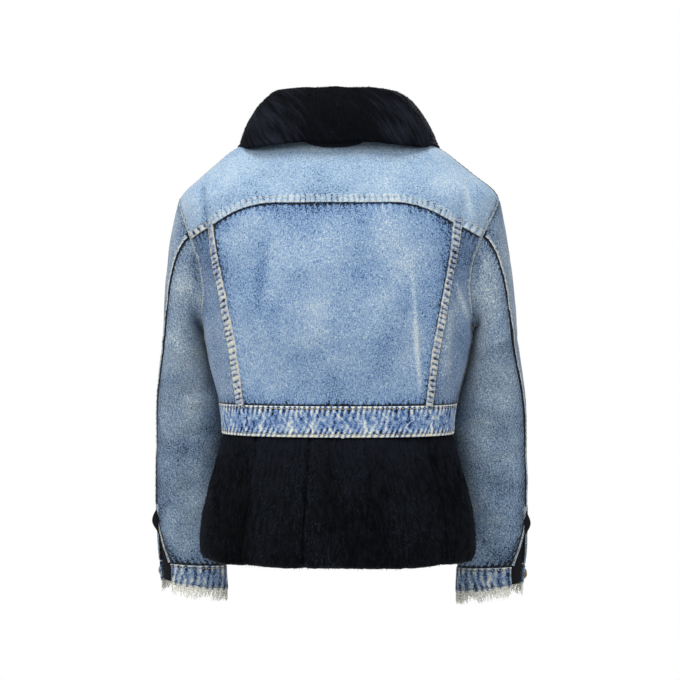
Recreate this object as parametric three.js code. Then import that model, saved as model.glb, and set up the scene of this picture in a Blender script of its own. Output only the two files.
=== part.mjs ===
// Denim jacket with a sheared-fur collar and a sheared-fur peplum, hollow, in the pose it has when worn.
// Millimetres, +Z up. The front faces -Y and the wearer's left is +X.
// The origin is the middle of the neck hole, at the height of the back neck seam.
//
// The torso is a stack of level sections: each is an oval whose half width and depths come from a row of a
// table. A panel is a patch of that surface between four seams, and it becomes a wall of cloth by moving
// its points inwards. Sleeves, cuffs, collar and peplum are patches of their own surfaces, made the same way.
import * as THREE from "three";

// ---- walls and clearances ----
const DENIM_WALL = 1.6;
const BAND_WALL = 2.6; // waistband and cuffs are folded double
const BUTTON_BAND_WALL = 1.8;
const SLIT_WALL = 1;
const FUR_WALL = 9; // skin and pile of the peplum
const COLLAR_FUR_WALL = 10;
const FRINGE_WALL = 2.4;
const SEAM_GAP = 0.4; // between the cut edges of neighbouring pieces
const LAY_GAP = 0.4; // between a piece and the one that lies on it
const COLLAR_GAP = 1.3; // between the fur of the collar and the denim under it
const BUTTON_BAND_GAP = 0.9; // between the button band and the fronts
const BAND_STAND = 0.7; // a folded band's face stands off the panel's by this
const SLIT_DEPTH = 2.6; // between the sleeve and the lining of its slit
const SLIT_MARGIN = 9; // width of lining under each edge of the slit, in degrees of turn
const SEAM_LIFT = 0.1; // between the torso and an edge that is sewn onto it
const EDGE_PILE = 3.5; // the pile thins out to this at the edges of the collar

// ---- heights of the main seams ----
const BAND_TOP = -352;
const BAND_BOTTOM = -394;
const HEM = -570;
const YOKE_MIDDLE = -78;
const FRONT_NECK = 76; // reach of the neck hole in front of the origin
const BACK_NECK = 66;
const NECK_HALF_WIDTH = 68;

const FULLNESS = 2.3; // exponent of the torso oval, 2 is an ellipse
const PEPLUM_FULLNESS = 2.2;
const NECK_FULLNESS = 2.5; // of the neck hole in plan

// Torso sections: half width at the sides, and depth behind and before the middle.
const TORSO = [
  { z: -400, halfWidth: 161, back: 103, front: 106 },
  { z: -352, halfWidth: 166, back: 104, front: 106 },
  { z: -294, halfWidth: 180, back: 112, front: 113 },
  { z: -245, halfWidth: 188, back: 118, front: 118 },
  { z: -190, halfWidth: 193, back: 119, front: 115 },
  { z: -136, halfWidth: 208, back: 116, front: 104 },
  { z: -95, halfWidth: 220, back: 109, front: 88 },
  { z: -70, halfWidth: 222, back: 103, front: 78 },
  { z: -56, halfWidth: 215, back: 98, front: 71 },
  { z: -37, halfWidth: 193, back: 90, front: 62 },
  { z: -18, halfWidth: 170, back: 79, front: 51 },
  { z: 0, halfWidth: 147, back: 66, front: 40 },
  { z: 14, halfWidth: 118, back: 55, front: 30 },
  { z: 28, halfWidth: 68, back: 38, front: 18 },
];

// Peplum sections. The whole oval moves back by shift.
const PEPLUM = [
  { z: -570, halfWidth: 184, back: 116, front: 105, shift: 12 },
  { z: -563, halfWidth: 190, back: 122, front: 111, shift: 12 },
  { z: -548, halfWidth: 193, back: 124, front: 113, shift: 12 },
  { z: -515, halfWidth: 191, back: 122, front: 113, shift: 12 },
  { z: -472, halfWidth: 182, back: 117, front: 111, shift: 9 },
  { z: -440, halfWidth: 171, back: 112, front: 109, shift: 5 },
  { z: -408, halfWidth: 163, back: 106, front: 107, shift: 1 },
  { z: -394, halfWidth: 160, back: 103, front: 105, shift: 0 },
];

// Standing folds of the peplum: a trough at an angle from the back middle, deepest at one height.
const PEPLUM_FOLDS = [
  { angle: 60, spread: 9, depth: 15, z: -490, reach: 90 },
  { angle: -69, spread: 7, depth: 9, z: -440, reach: 60 },
  { angle: -33, spread: 8, depth: 4, z: -432, reach: 38 },
  { angle: 22, spread: 6, depth: 3, z: -430, reach: 30 },
  { angle: 118, spread: 9, depth: 8, z: -500, reach: 80 },
  { angle: -120, spread: 9, depth: 8, z: -480, reach: 70 },
];
const PEPLUM_SEAMS = [-178.8, -100, -63, 17, 53, 104, 178.8];
const PEPLUM_NAMES = ["front_right", "side_right", "back_centre", "back_left", "side_left", "front_left"];

// Yoke seam on the back: its height at a distance from the middle.
const YOKE_SEAM = [
  { x: 0, z: YOKE_MIDDLE },
  { x: 60, z: -78 },
  { x: 96, z: -79 },
  { x: 130, z: -88 },
  { x: 165, z: -106 },
  { x: 200, z: -124 },
];
// Seam between the centre panel and a side panel, running in to the waist.
const PRINCESS_SEAM = [
  { z: BAND_TOP, x: 126 },
  { z: -290, x: 134 },
  { z: -217, x: 146 },
  { z: -150, x: 159 },
  { z: -106, x: 165 }, // meets the yoke seam
];

// Armhole, seen from the side: an oval.
const ARMHOLE = { middleZ: -157, halfHeight: 87, back: 48, front: 46 };

// Sleeve sections below the armhole. rise lifts the outer side and drops the inner one.
const SLEEVE = [
  { z: -262, x: 219, y: -28, halfWidth: 31, halfDepth: 60, rise: 0 },
  { z: -300, x: 218, y: -33, halfWidth: 38, halfDepth: 54, rise: 0 },
  { z: -345, x: 214.5, y: -40, halfWidth: 47.5, halfDepth: 47, rise: 0 },
  { z: -400, x: 215, y: -47, halfWidth: 49.5, halfDepth: 42, rise: 0 },
  { z: -460, x: 217, y: -54, halfWidth: 49.5, halfDepth: 38, rise: 0 },
  { z: -515, x: 217.5, y: -60, halfWidth: 49.5, halfDepth: 34, rise: 0 },
  { z: -560, x: 217, y: -64, halfWidth: 49, halfDepth: 31, rise: 1 },
  { z: -587, x: 215, y: -66, halfWidth: 48.5, halfDepth: 29, rise: 2 },
  { z: -620, x: 213, y: -68, halfWidth: 48, halfDepth: 27, rise: 6 },
  { z: -637, x: 212, y: -69, halfWidth: 48, halfDepth: 27, rise: 6 },
];
const CAP_SHARE = 0.3; // share of the sleeve's length between armhole and first level section
// From the armhole, the cap leaves outwards and bends down. The Low values hold at the underarm.
const ARMHOLE_TANGENT = { out: 0.3, outLow: 1, down: 150, downLow: 22, end: 150, endLow: 30 };
const CUFF_TOP = -587.4;
const CUFF_BOTTOM = -620;
const FRINGE_BOTTOM = -637;

// Sleeve seams, as angles round the sleeve: 0 outwards, 90 to the back, 180 to the body, 270 to the front.
// Below the top of the slit the two edges at the back part, and the lining shows between them. The slit
// runs on through the open cuff to its lower edge.
const SLEEVE_SEAMS = [
  { along: 0, backTop: 66, backUnder: 66, front: 262 },
  { along: 0.3, backTop: 43, backUnder: 43, front: 250 },
  { along: 0.5, backTop: 22, backUnder: 22, front: 240 },
  { along: 0.74, backTop: 22, backUnder: 22, front: 236 },
  { along: 0.766, backTop: 22, backUnder: 22, front: 236 },
  { along: 0.79, backTop: 20, backUnder: 24, front: 236 },
  { along: 0.86, backTop: 9, backUnder: 38, front: 236 },
  { along: 0.936, backTop: 0, backUnder: 54, front: 236 },
  { along: 1, backTop: 6, backUnder: 50, front: 236 },
];
const SLIT_LINING_TOP = 0.754;
const SLIT_LINING_END = 0.995;
const SLEEVE_END = 0.936;

// Collar stations, from the middle of the back to the front end, as an angle round the neck hole.
// The section rises from the seam by rise, leans in by lean, turns over a crown at spread and falls to its
// edge, which lies reach outwards in the direction swing, at height edge.
const COLLAR = [
  { around: 0, rise: 100, lean: 14, spread: 8, crown: 94, reach: 15, swing: 0, edge: 16 },
  { around: 30, rise: 93, lean: 12, spread: 12, crown: 86, reach: 22, swing: 32, edge: 15 },
  { around: 60, rise: 74, lean: 8, spread: 28, crown: 64, reach: 56, swing: 64, edge: 7 },
  { around: 90, rise: 60, lean: 6, spread: 32, crown: 52, reach: 72, swing: 94, edge: 4 },
  { around: 120, rise: 52, lean: 4, spread: 32, crown: 42, reach: 76, swing: 112, edge: -36 },
  { around: 150, rise: 34, lean: 2, spread: 32, crown: 26, reach: 74, swing: 118, edge: -88 },
  { around: 174, rise: 16, lean: 0, spread: 26, crown: 10, reach: 70, swing: 108, edge: -126 },
];
const COLLAR_CLEARANCE = 5; // the fold stays this far off the yoke, away from its seam
const UNDER_COLLAR_EXTENT = [0.05, 0.996]; // shares of the section, from the edge to the seam
const FUR_COLLAR_EXTENT = [0.01, 0.98];

// Closures.
const BUTTON_BAND_HALF_WIDTH = 16;
const BUTTON_BAND_TOP = -74;
const FRONT_BUTTON_HEIGHTS = [-106, -163, -220, -277, -334];
const BUTTON = { radius: 8.5, thickness: 4.2, rim: 1.1 };
const CUFF_BUTTON_TURN = -24;
const WAISTBAND_START = 168; // the strip starts left of the front middle, under its upper end
const WAISTBAND_LAP = 17; // length of the upper end that lies on the start, in degrees of turn
const LAP_RISE = 330; // turn from which the upper end begins to lift
const LAP_TOP = 358; // turn from which it lies on the start

// Shares of the length of a panel's outer edge at which it passes from one seam to the next.
const YOKE_ARMHOLE_SHARE = 0.34;
const BACK_SIDE_SEAM_SHARE = 0.42;
const FRONT_SIDE_SEAM_SHARE = 0.24;
const FRONT_ARMHOLE_SHARE = 0.6;
const SHOULDER_EVENNESS = 0.87; // spaces the points of the shoulder seam evenly

// Steps along a surface's two values over which its normal is taken.
const TORSO_STEPS = [0.05, 0.05];
const PEPLUM_STEPS = [0.5, 1];
const COLLAR_STEPS = [0.4, 0.004];
const SLEEVE_STEPS = [0.4, 0.002];

// ---- looks ----
const paleDenim = new THREE.MeshStandardMaterial({ color: 0xa9bacb, roughness: 0.92, metalness: 0 });
const midDenim = new THREE.MeshStandardMaterial({ color: 0x8fa7c0, roughness: 0.92, metalness: 0 });
const greyDenim = new THREE.MeshStandardMaterial({ color: 0x6d8096, roughness: 0.92, metalness: 0 });
const stripedDenim = new THREE.MeshStandardMaterial({ color: 0x7b90aa, roughness: 0.92, metalness: 0 });
const darkDenim = new THREE.MeshStandardMaterial({ color: 0x27364f, roughness: 0.92, metalness: 0 });
const fur = new THREE.MeshStandardMaterial({ color: 0x12141b, roughness: 1, metalness: 0 });
const lining = new THREE.MeshStandardMaterial({ color: 0x0b0c10, roughness: 0.8, metalness: 0 });
const cotton = new THREE.MeshStandardMaterial({ color: 0xe2e2d8, roughness: 0.95, metalness: 0 });
const brass = new THREE.MeshStandardMaterial({ color: 0x8d7a55, roughness: 0.45, metalness: 1 });

const garment = new THREE.Group();
const SIDES = [{ name: "left", sign: 1 }, { name: "right", sign: -1 }];
const radians = THREE.MathUtils.degToRad;
const smoothstep = THREE.MathUtils.smoothstep;
const mix = THREE.MathUtils.lerp;

// ---- tables ----

/** Value of one column of a table at a place along another, on a smooth curve through the rows. */
function along(table, by, place, column) {
  let i = 0;
  while (i < table.length - 2 && place > table[i + 1][by]) i += 1;
  const slope = (j) => {
    const before = table[Math.max(j - 1, 0)];
    const after = table[Math.min(j + 1, table.length - 1)];
    return (after[column] - before[column]) / (after[by] - before[by]);
  };
  const [from, to] = [table[i], table[i + 1]];
  const step = to[by] - from[by];
  const t = Math.min(Math.max((place - from[by]) / step, 0), 1);
  const bend = t * (1 - t) * step;
  const straight = from[column] + (to[column] - from[column]) * t;
  const rise = (to[column] - from[column]) / step;
  return straight + bend * ((1 - t) * (slope(i) - rise) - t * (slope(i + 1) - rise));
}

const SLEEVE_RISING = [...SLEEVE].reverse(); // the rows in order of growing height

// ---- surfaces ----

/** Radius of an oval with its own back and front depth, at an angle from the back. */
function ovalRadius(turn, halfWidth, back, front, exponent) {
  const sideways = Math.abs(Math.sin(turn)) / halfWidth;
  const lengthways = Math.abs(Math.cos(turn)) / (Math.cos(turn) > 0 ? back : front);
  return (sideways ** exponent + lengthways ** exponent) ** (-1 / exponent);
}

/** Point of the torso at an angle from the back middle, in degrees, and a height. */
function torsoPoint(angle, z) {
  const turn = radians(angle);
  const row = (column) => along(TORSO, "z", z, column);
  const radius = ovalRadius(turn, row("halfWidth"), row("back"), row("front"), FULLNESS);
  return new THREE.Vector3(radius * Math.sin(turn), radius * Math.cos(turn), z);
}

/** Point of the peplum, with its standing folds. */
function peplumPoint(angle, z) {
  const turn = radians(angle);
  const row = (column) => along(PEPLUM, "z", z, column);
  let radius = ovalRadius(turn, row("halfWidth"), row("back"), row("front"), PEPLUM_FULLNESS);
  for (const fold of PEPLUM_FOLDS) {
    const across = (angle - fold.angle) / fold.spread;
    const down = (z - fold.z) / fold.reach;
    radius -= fold.depth * Math.exp(-across * across - down * down) * smoothstep(BAND_BOTTOM - z, 0, 25);
  }
  return new THREE.Vector3(radius * Math.sin(turn), radius * Math.cos(turn) + row("shift"), z);
}

/** Angle of the torso point on the back at a distance x from the middle. */
function backAngle(x, z) {
  const width = Math.min(Math.abs(x) / along(TORSO, "z", z, "halfWidth"), 1);
  const y = along(TORSO, "z", z, "back") * (1 - width ** FULLNESS) ** (1 / FULLNESS);
  return THREE.MathUtils.radToDeg(Math.atan2(Math.abs(x), y)) * Math.sign(x);
}

/** Angle and height of the torso point above a place in plan, found by halving. */
function underPlan(x, y) {
  let low = TORSO[0].z;
  let high = TORSO[TORSO.length - 1].z;
  const angle = THREE.MathUtils.radToDeg(Math.atan2(x, y));
  for (let step = 0; step < 40; step += 1) {
    const z = (low + high) / 2;
    const point = torsoPoint(angle, z);
    if (Math.hypot(point.x, point.y) > Math.hypot(x, y)) low = z;
    else high = z;
  }
  return [angle, (low + high) / 2];
}

/** Angle and height of the neck seam, at an angle round the neck hole. */
function neckSeam(around) {
  const turn = radians(around);
  const radius = ovalRadius(turn, NECK_HALF_WIDTH, BACK_NECK, FRONT_NECK, NECK_FULLNESS);
  return underPlan(radius * Math.sin(turn), radius * Math.cos(turn));
}

/** Angle and height on the armhole, at a turn from its top: 90 is its back, 270 its front. */
function armholeSeam(turn) {
  const z = ARMHOLE.middleZ + ARMHOLE.halfHeight * Math.cos(radians(turn));
  const reach = Math.sin(radians(turn));
  const y = reach * (reach > 0 ? ARMHOLE.back : ARMHOLE.front);
  const depth = along(TORSO, "z", z, y > 0 ? "back" : "front");
  const x = along(TORSO, "z", z, "halfWidth") * (1 - (Math.abs(y) / depth) ** FULLNESS) ** (1 / FULLNESS);
  return [THREE.MathUtils.radToDeg(Math.atan2(x, y)), z];
}

/** Turn round the armhole at which its back side is at a height. */
function armholeTurn(z) {
  return THREE.MathUtils.radToDeg(Math.acos((z - ARMHOLE.middleZ) / ARMHOLE.halfHeight));
}

/** Outward normal of a surface given as point(a, b), a across and b up. */
function normalOf(point, a, b, [stepA, stepB] = TORSO_STEPS) {
  const across = point(a + stepA, b).sub(point(a - stepA, b));
  const up = point(a, b + stepB).sub(point(a, b - stepB));
  return up.cross(across).normalize();
}

/** Point of the left sleeve, at a turn round it and a share along it. */
function sleevePoint(turn, share) {
  const cos = Math.cos(radians(turn));
  const sin = Math.sin(radians(turn));
  const section = (z) => {
    const row = (column) => along(SLEEVE_RISING, "z", z, column);
    const x = row("x") + row("halfWidth") * cos;
    return new THREE.Vector3(x, row("y") + row("halfDepth") * sin, z + row("rise") * cos);
  };
  const first = SLEEVE[0].z;
  if (share >= CAP_SHARE) {
    return section(first + ((CUFF_BOTTOM - first) * (share - CAP_SHARE)) / (1 - CAP_SHARE));
  }
  const [angle, z] = armholeSeam(turn);
  const high = (1 + cos) / 2; // 1 at the shoulder, 0 at the underarm
  const start = torsoPoint(angle, z);
  const stand = LAY_GAP + SEAM_LIFT + (DENIM_WALL + SEAM_LIFT) * high;
  start.addScaledVector(normalOf(torsoPoint, angle, z), stand);
  const end = section(first);
  const bend = ARMHOLE_TANGENT;
  const leave = new THREE.Vector3(mix(bend.outLow, bend.out, high), 0, -high)
    .normalize()
    .multiplyScalar(mix(bend.downLow, bend.down, high));
  const arrive = new THREE.Vector3(0, 0, -mix(bend.endLow, bend.end, high));
  const t = share / CAP_SHARE;
  const s = 1 - t;
  return start.multiplyScalar(s * s * (1 + 2 * t))
    .addScaledVector(leave, t * s * s)
    .addScaledVector(arrive, -t * t * s)
    .addScaledVector(end, t * t * (1 + 2 * s));
}

/** Point of the collar at an angle round the neck and a share of its section, seam 0 to edge 1. */
function collarPoint(around, share) {
  const place = Math.abs(around);
  const row = (column) => along(COLLAR, "around", place, column);
  const [angle, z] = neckSeam(place);
  const seam = torsoPoint(angle, z).addScaledVector(normalOf(torsoPoint, angle, z), SEAM_LIFT);
  const out = (swing) => new THREE.Vector3(Math.sin(radians(swing)), Math.cos(radians(swing)), 0);
  const lean = seam.clone().addScaledVector(out(place), -row("lean"));
  lean.z += row("rise");
  const crown = seam.clone().addScaledVector(out(row("swing")), row("spread"));
  crown.z += row("crown");
  const edge = seam.clone().addScaledVector(out(row("swing")), row("reach"));
  edge.z = row("edge");
  const s = 1 - share;
  const point = seam.clone().multiplyScalar(s ** 3)
    .addScaledVector(lean, 3 * s * s * share)
    .addScaledVector(crown, 3 * s * share * share)
    .addScaledVector(edge, share ** 3);
  clearTorso(point, SEAM_LIFT + COLLAR_CLEARANCE * smoothstep(share, 0, 0.3));
  point.x *= Math.sign(around) || 1;
  return point;
}

/** Moves a point out of the torso until it is lift off it. */
function clearTorso(point, lift) {
  const top = TORSO[TORSO.length - 1].z;
  for (let pass = 0; pass < 4; pass += 1) {
    if (point.z > top) return;
    const angle = THREE.MathUtils.radToDeg(Math.atan2(point.x, point.y));
    const near = torsoPoint(angle, point.z);
    const normal = normalOf(torsoPoint, angle, point.z);
    const off = point.clone().sub(near).dot(normal);
    if (off >= lift) return;
    point.addScaledVector(normal, lift - off);
  }
}

// ---- walls ----

/** One closed wall between an outer and an inner grid of points. */
function closeWall(outer, inner) {
  const rows = outer.length;
  const columns = outer[0].length;
  const points = [...outer.flat(), ...inner.flat()];
  const index = [];
  const at = (layer, i, j) => (layer * rows + i) * columns + j;
  const quad = (a, b, c, d) => index.push(a, b, c, a, c, d);
  for (let i = 0; i < rows - 1; i += 1) {
    for (let j = 0; j < columns - 1; j += 1) {
      quad(at(0, i, j), at(0, i + 1, j), at(0, i + 1, j + 1), at(0, i, j + 1));
      quad(at(1, i, j), at(1, i, j + 1), at(1, i + 1, j + 1), at(1, i + 1, j));
    }
    quad(at(0, i, 0), at(1, i, 0), at(1, i + 1, 0), at(0, i + 1, 0));
    const j = columns - 1;
    quad(at(0, i, j), at(0, i + 1, j), at(1, i + 1, j), at(1, i, j));
  }
  for (let j = 0; j < columns - 1; j += 1) {
    quad(at(0, 0, j), at(0, 0, j + 1), at(1, 0, j + 1), at(1, 0, j));
    const i = rows - 1;
    quad(at(0, i, j), at(1, i, j), at(1, i, j + 1), at(0, i, j + 1));
  }
  return facingOut(points, index);
}

/** Geometry of a closed set of triangles, turned so that its faces point out. */
function facingOut(points, index) {
  let volume = 0;
  for (let i = 0; i < index.length; i += 3) {
    const [a, b, c] = [points[index[i]], points[index[i + 1]], points[index[i + 2]]];
    volume += a.dot(b.clone().cross(c));
  }
  const order = volume > 0 ? index : index.slice().reverse();
  const geometry = new THREE.BufferGeometry();
  const flat = points.flatMap((point) => [point.x, point.y, point.z]);
  geometry.setAttribute("position", new THREE.Float32BufferAttribute(flat, 3));
  geometry.setIndex(order);
  geometry.computeVertexNormals();
  return geometry;
}

/** Moves the edge points of a grid in by half a seam gap, so that neighbours stay apart. */
function drawIn(grid) {
  const pull = (edge, next) => {
    const step = next.clone().sub(edge);
    edge.addScaledVector(step.normalize(), SEAM_GAP / 2);
  };
  const last = grid.length - 1;
  const end = grid[0].length - 1;
  for (let j = 0; j <= end; j += 1) {
    pull(grid[0][j], grid[1][j]);
    pull(grid[last][j], grid[last - 1][j]);
  }
  for (let i = 0; i <= last; i += 1) {
    pull(grid[i][0], grid[i][1]);
    pull(grid[i][end], grid[i][end - 1]);
  }
}

/**
 * Wall of a patch. place(u, v) gives the two surface values, point(a, b) the surface, lift how far the
 * outer face stands off it and thick the wall, either a number or a function of u and v.
 */
function patchWall({ point, place, across, up, lift = 0, thick, sign = 1, steps = TORSO_STEPS }) {
  const outer = [];
  const inner = [];
  const value = (size, u, v) => (typeof size === "function" ? size(u, v) : size);
  for (let i = 0; i <= across; i += 1) {
    outer.push([]);
    inner.push([]);
    for (let j = 0; j <= up; j += 1) {
      const [u, v] = [i / across, j / up];
      const [a, b] = place(u, v);
      const normal = normalOf(point, a, b, steps);
      const base = point(a, b);
      const stand = value(lift, u, v);
      outer[i].push(base.clone().addScaledVector(normal, stand));
      inner[i].push(base.clone().addScaledVector(normal, stand - value(thick, u, v)));
    }
  }
  drawIn(outer);
  drawIn(inner);
  for (const row of [...outer, ...inner]) {
    for (const corner of row) corner.x *= sign;
  }
  return closeWall(outer, inner);
}

/** Blend of four edge curves into a patch, each curve giving a pair of surface values. */
function blend(bottom, top, start, end) {
  return (u, v) => [0, 1].map((k) => {
    const ruled = bottom(u)[k] * (1 - v) + top(u)[k] * v + start(v)[k] * (1 - u) + end(v)[k] * u;
    const low = bottom(0)[k] * (1 - u) + bottom(1)[k] * u;
    const high = top(0)[k] * (1 - u) + top(1)[k] * u;
    return ruled - low * (1 - v) - high * v;
  });
}

function add(name, geometry, material) {
  const mesh = new THREE.Mesh(geometry, material);
  mesh.name = name;
  garment.add(mesh);
  return mesh;
}

// ---- seams on the torso, on the left half ----
const yokeHeight = (x) => along(YOKE_SEAM, "x", Math.abs(x), "z");
const yokeSeam = (x) => [backAngle(x, yokeHeight(x)), yokeHeight(x)];
const princessSeam = (z) => [backAngle(along(PRINCESS_SEAM, "z", z, "x"), z), z];
const PRINCESS_TOP = PRINCESS_SEAM[PRINCESS_SEAM.length - 1];

/** End of the yoke seam on the armhole: where the two curves meet. */
function yokeEnd() {
  let x = NECK_HALF_WIDTH;
  const step = 0.05;
  while (x < YOKE_SEAM[YOKE_SEAM.length - 1].x) {
    const [angle, z] = yokeSeam(x);
    if (angle >= armholeSeam(armholeTurn(z))[0]) break;
    x += step;
  }
  return x;
}
const YOKE_END_X = yokeEnd();
const YOKE_END_TURN = armholeTurn(yokeSeam(YOKE_END_X)[1]);
const SHOULDER = armholeSeam(0);
const UNDERARM = ARMHOLE.middleZ - ARMHOLE.halfHeight;

/** Shoulder seam, from the armhole to the neck. */
function shoulderSeam(share) {
  return [90, mix(SHOULDER[1], neckSeam(90)[1], share ** SHOULDER_EVENNESS)];
}

/** Edge that runs up the armhole between two turns of it, then up the shoulder seam. */
function armholeAndShoulder(from, to, armholeShare) {
  return (v) => {
    if (v <= armholeShare) return armholeSeam(mix(from, to, v / armholeShare));
    return shoulderSeam((v - armholeShare) / (1 - armholeShare));
  };
}

function backPieces() {
  const half = (u) => 2 * u - 1;
  const mirrored = (curve) => (u) => {
    const [angle, z] = curve(Math.abs(half(u)));
    return [angle * Math.sign(half(u)), z];
  };
  const yokeSide = armholeAndShoulder(YOKE_END_TURN, 0, YOKE_ARMHOLE_SHARE);
  add("back_yoke", patchWall({
    point: torsoPoint,
    place: blend(
      mirrored((share) => yokeSeam(share * YOKE_END_X)),
      mirrored((share) => neckSeam(90 * share)),
      (v) => [-yokeSide(v)[0], yokeSide(v)[1]],
      yokeSide,
    ),
    across: 24,
    up: 5,
    thick: DENIM_WALL,
  }), paleDenim);

  const flank = (v) => princessSeam(mix(BAND_TOP, PRINCESS_TOP.z, v));
  add("back_centre_panel", patchWall({
    point: torsoPoint,
    place: blend(
      mirrored((share) => [flank(0)[0] * share, BAND_TOP]),
      mirrored((share) => yokeSeam(share * PRINCESS_TOP.x)),
      (v) => [-flank(v)[0], flank(v)[1]],
      flank,
    ),
    across: 10,
    up: 7,
    thick: DENIM_WALL,
  }), midDenim);

  // The side panel ends at the side seam, and above the underarm at the armhole.
  const seamShare = BACK_SIDE_SEAM_SHARE;
  const sideEdge = (v) => {
    if (v <= seamShare) return [90, mix(BAND_TOP, UNDERARM, v / seamShare)];
    return armholeSeam(mix(180, YOKE_END_TURN, (v - seamShare) / (1 - seamShare)));
  };
  for (const side of SIDES) {
    add(`back_side_panel_${side.name}`, patchWall({
      point: torsoPoint,
      place: blend(
        (u) => [mix(flank(0)[0], 90, u), BAND_TOP],
        (u) => yokeSeam(mix(PRINCESS_TOP.x, YOKE_END_X, u)),
        flank,
        sideEdge,
      ),
      across: 5,
      up: 10,
      thick: DENIM_WALL,
      sign: side.sign,
    }), midDenim);
  }
}

function frontPieces() {
  // The outer edge runs up the side seam, the armhole and the shoulder seam to the neck.
  const sideShare = FRONT_SIDE_SEAM_SHARE;
  const above = armholeAndShoulder(180, 360, FRONT_ARMHOLE_SHARE);
  const sideEdge = (v) => {
    if (v <= sideShare) return [90, mix(BAND_TOP, UNDERARM, v / sideShare)];
    return above((v - sideShare) / (1 - sideShare));
  };
  for (const side of SIDES) {
    add(`front_panel_${side.name}`, patchWall({
      point: torsoPoint,
      place: blend(
        (u) => [mix(90, 180, u), BAND_TOP],
        (u) => neckSeam(mix(90, 180, u)),
        sideEdge,
        (v) => [180, mix(BAND_TOP, neckSeam(180)[1], v)],
      ),
      across: 9,
      up: 15,
      thick: DENIM_WALL,
      sign: side.sign,
    }), midDenim);
  }
  add("button_band", patchWall({
    point: torsoPoint,
    place: (u, v) => {
      const z = mix(BAND_TOP + SEAM_GAP, BUTTON_BAND_TOP, v);
      const level = Math.hypot(torsoPoint(180, z).x, torsoPoint(180, z).y);
      return [180 + THREE.MathUtils.radToDeg(BUTTON_BAND_HALF_WIDTH / level) * (2 * u - 1), z];
    },
    across: 3,
    up: 9,
    lift: BUTTON_BAND_GAP + BUTTON_BAND_WALL,
    thick: BUTTON_BAND_WALL,
  }), midDenim);
  const lift = BUTTON_BAND_GAP + BUTTON_BAND_WALL + LAY_GAP;
  FRONT_BUTTON_HEIGHTS.forEach((z, i) => addButton(`front_button_${i + 1}`, torsoPoint, 180, z, lift));
}

/** Round metal button on a surface, its back clear of the cloth by lift. */
function addButton(name, point, a, b, lift, sign = 1, steps = TORSO_STEPS) {
  const { radius, thickness, rim } = BUTTON;
  const profile = [
    [0, 0],
    [radius - rim, 0],
    [radius, rim],
    [radius, thickness - rim],
    [radius - rim, thickness],
    [0, thickness],
  ].map(([r, h]) => new THREE.Vector2(r, h));
  const geometry = new THREE.LatheGeometry(profile, 14);
  const normal = normalOf(point, a, b, steps);
  const place = point(a, b).addScaledVector(normal, lift);
  place.x *= sign;
  normal.x *= sign;
  const mesh = add(name, geometry, brass);
  mesh.position.copy(place);
  mesh.quaternion.setFromUnitVectors(new THREE.Vector3(0, 1, 0), normal);
}

function waistband() {
  const turns = 360 + WAISTBAND_LAP;
  const lapLift = BAND_WALL + LAY_GAP;
  add("waistband", patchWall({
    point: torsoPoint,
    place: (u, v) => [WAISTBAND_START - u * turns, mix(BAND_BOTTOM, BAND_TOP, v)],
    across: 44,
    up: 1,
    lift: (u) => BAND_STAND + lapLift * smoothstep(u * turns, LAP_RISE, LAP_TOP),
    thick: BAND_WALL,
  }), stripedDenim);
  const buttonTurn = WAISTBAND_START - WAISTBAND_LAP / 2;
  addButton("waistband_button", torsoPoint, buttonTurn, (BAND_TOP + BAND_BOTTOM) / 2,
    BAND_STAND + lapLift + 2 * LAY_GAP);
}

function peplum() {
  PEPLUM_NAMES.forEach((name, i) => {
    const [from, to] = [PEPLUM_SEAMS[i], PEPLUM_SEAMS[i + 1]];
    add(`fur_${name}`, patchWall({
      point: peplumPoint,
      place: (u, v) => [mix(from, to, u), mix(HEM, BAND_BOTTOM, v)],
      across: Math.round((to - from) / 7.5),
      up: 7,
      thick: FUR_WALL,
      steps: PEPLUM_STEPS,
    }), fur);
  });
}

function collar() {
  const end = COLLAR[COLLAR.length - 1].around;
  const turn = (u) => mix(-end, end, u);
  // Read from the edge to the seam, the surface has the side away from the fold's hollow as its outside.
  const outside = (around, share) => collarPoint(around, 1 - share);
  // The pile thins out at the edges of the fur.
  const pile = (u, v) => {
    const edge = Math.max(Math.abs(2 * v - 1) ** 5, Math.abs(2 * u - 1) ** 14);
    return mix(COLLAR_FUR_WALL, EDGE_PILE, edge);
  };
  add("under_collar", patchWall({
    point: outside,
    place: (u, v) => [turn(u), mix(...UNDER_COLLAR_EXTENT, v)],
    across: 28,
    up: 7,
    lift: -COLLAR_GAP,
    thick: DENIM_WALL,
    steps: COLLAR_STEPS,
  }), darkDenim);
  add("fur_collar", patchWall({
    point: outside,
    place: (u, v) => [turn(u), mix(...FUR_COLLAR_EXTENT, v)],
    across: 28,
    up: 8,
    lift: pile,
    thick: pile,
    steps: COLLAR_STEPS,
  }), fur);
}

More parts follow.
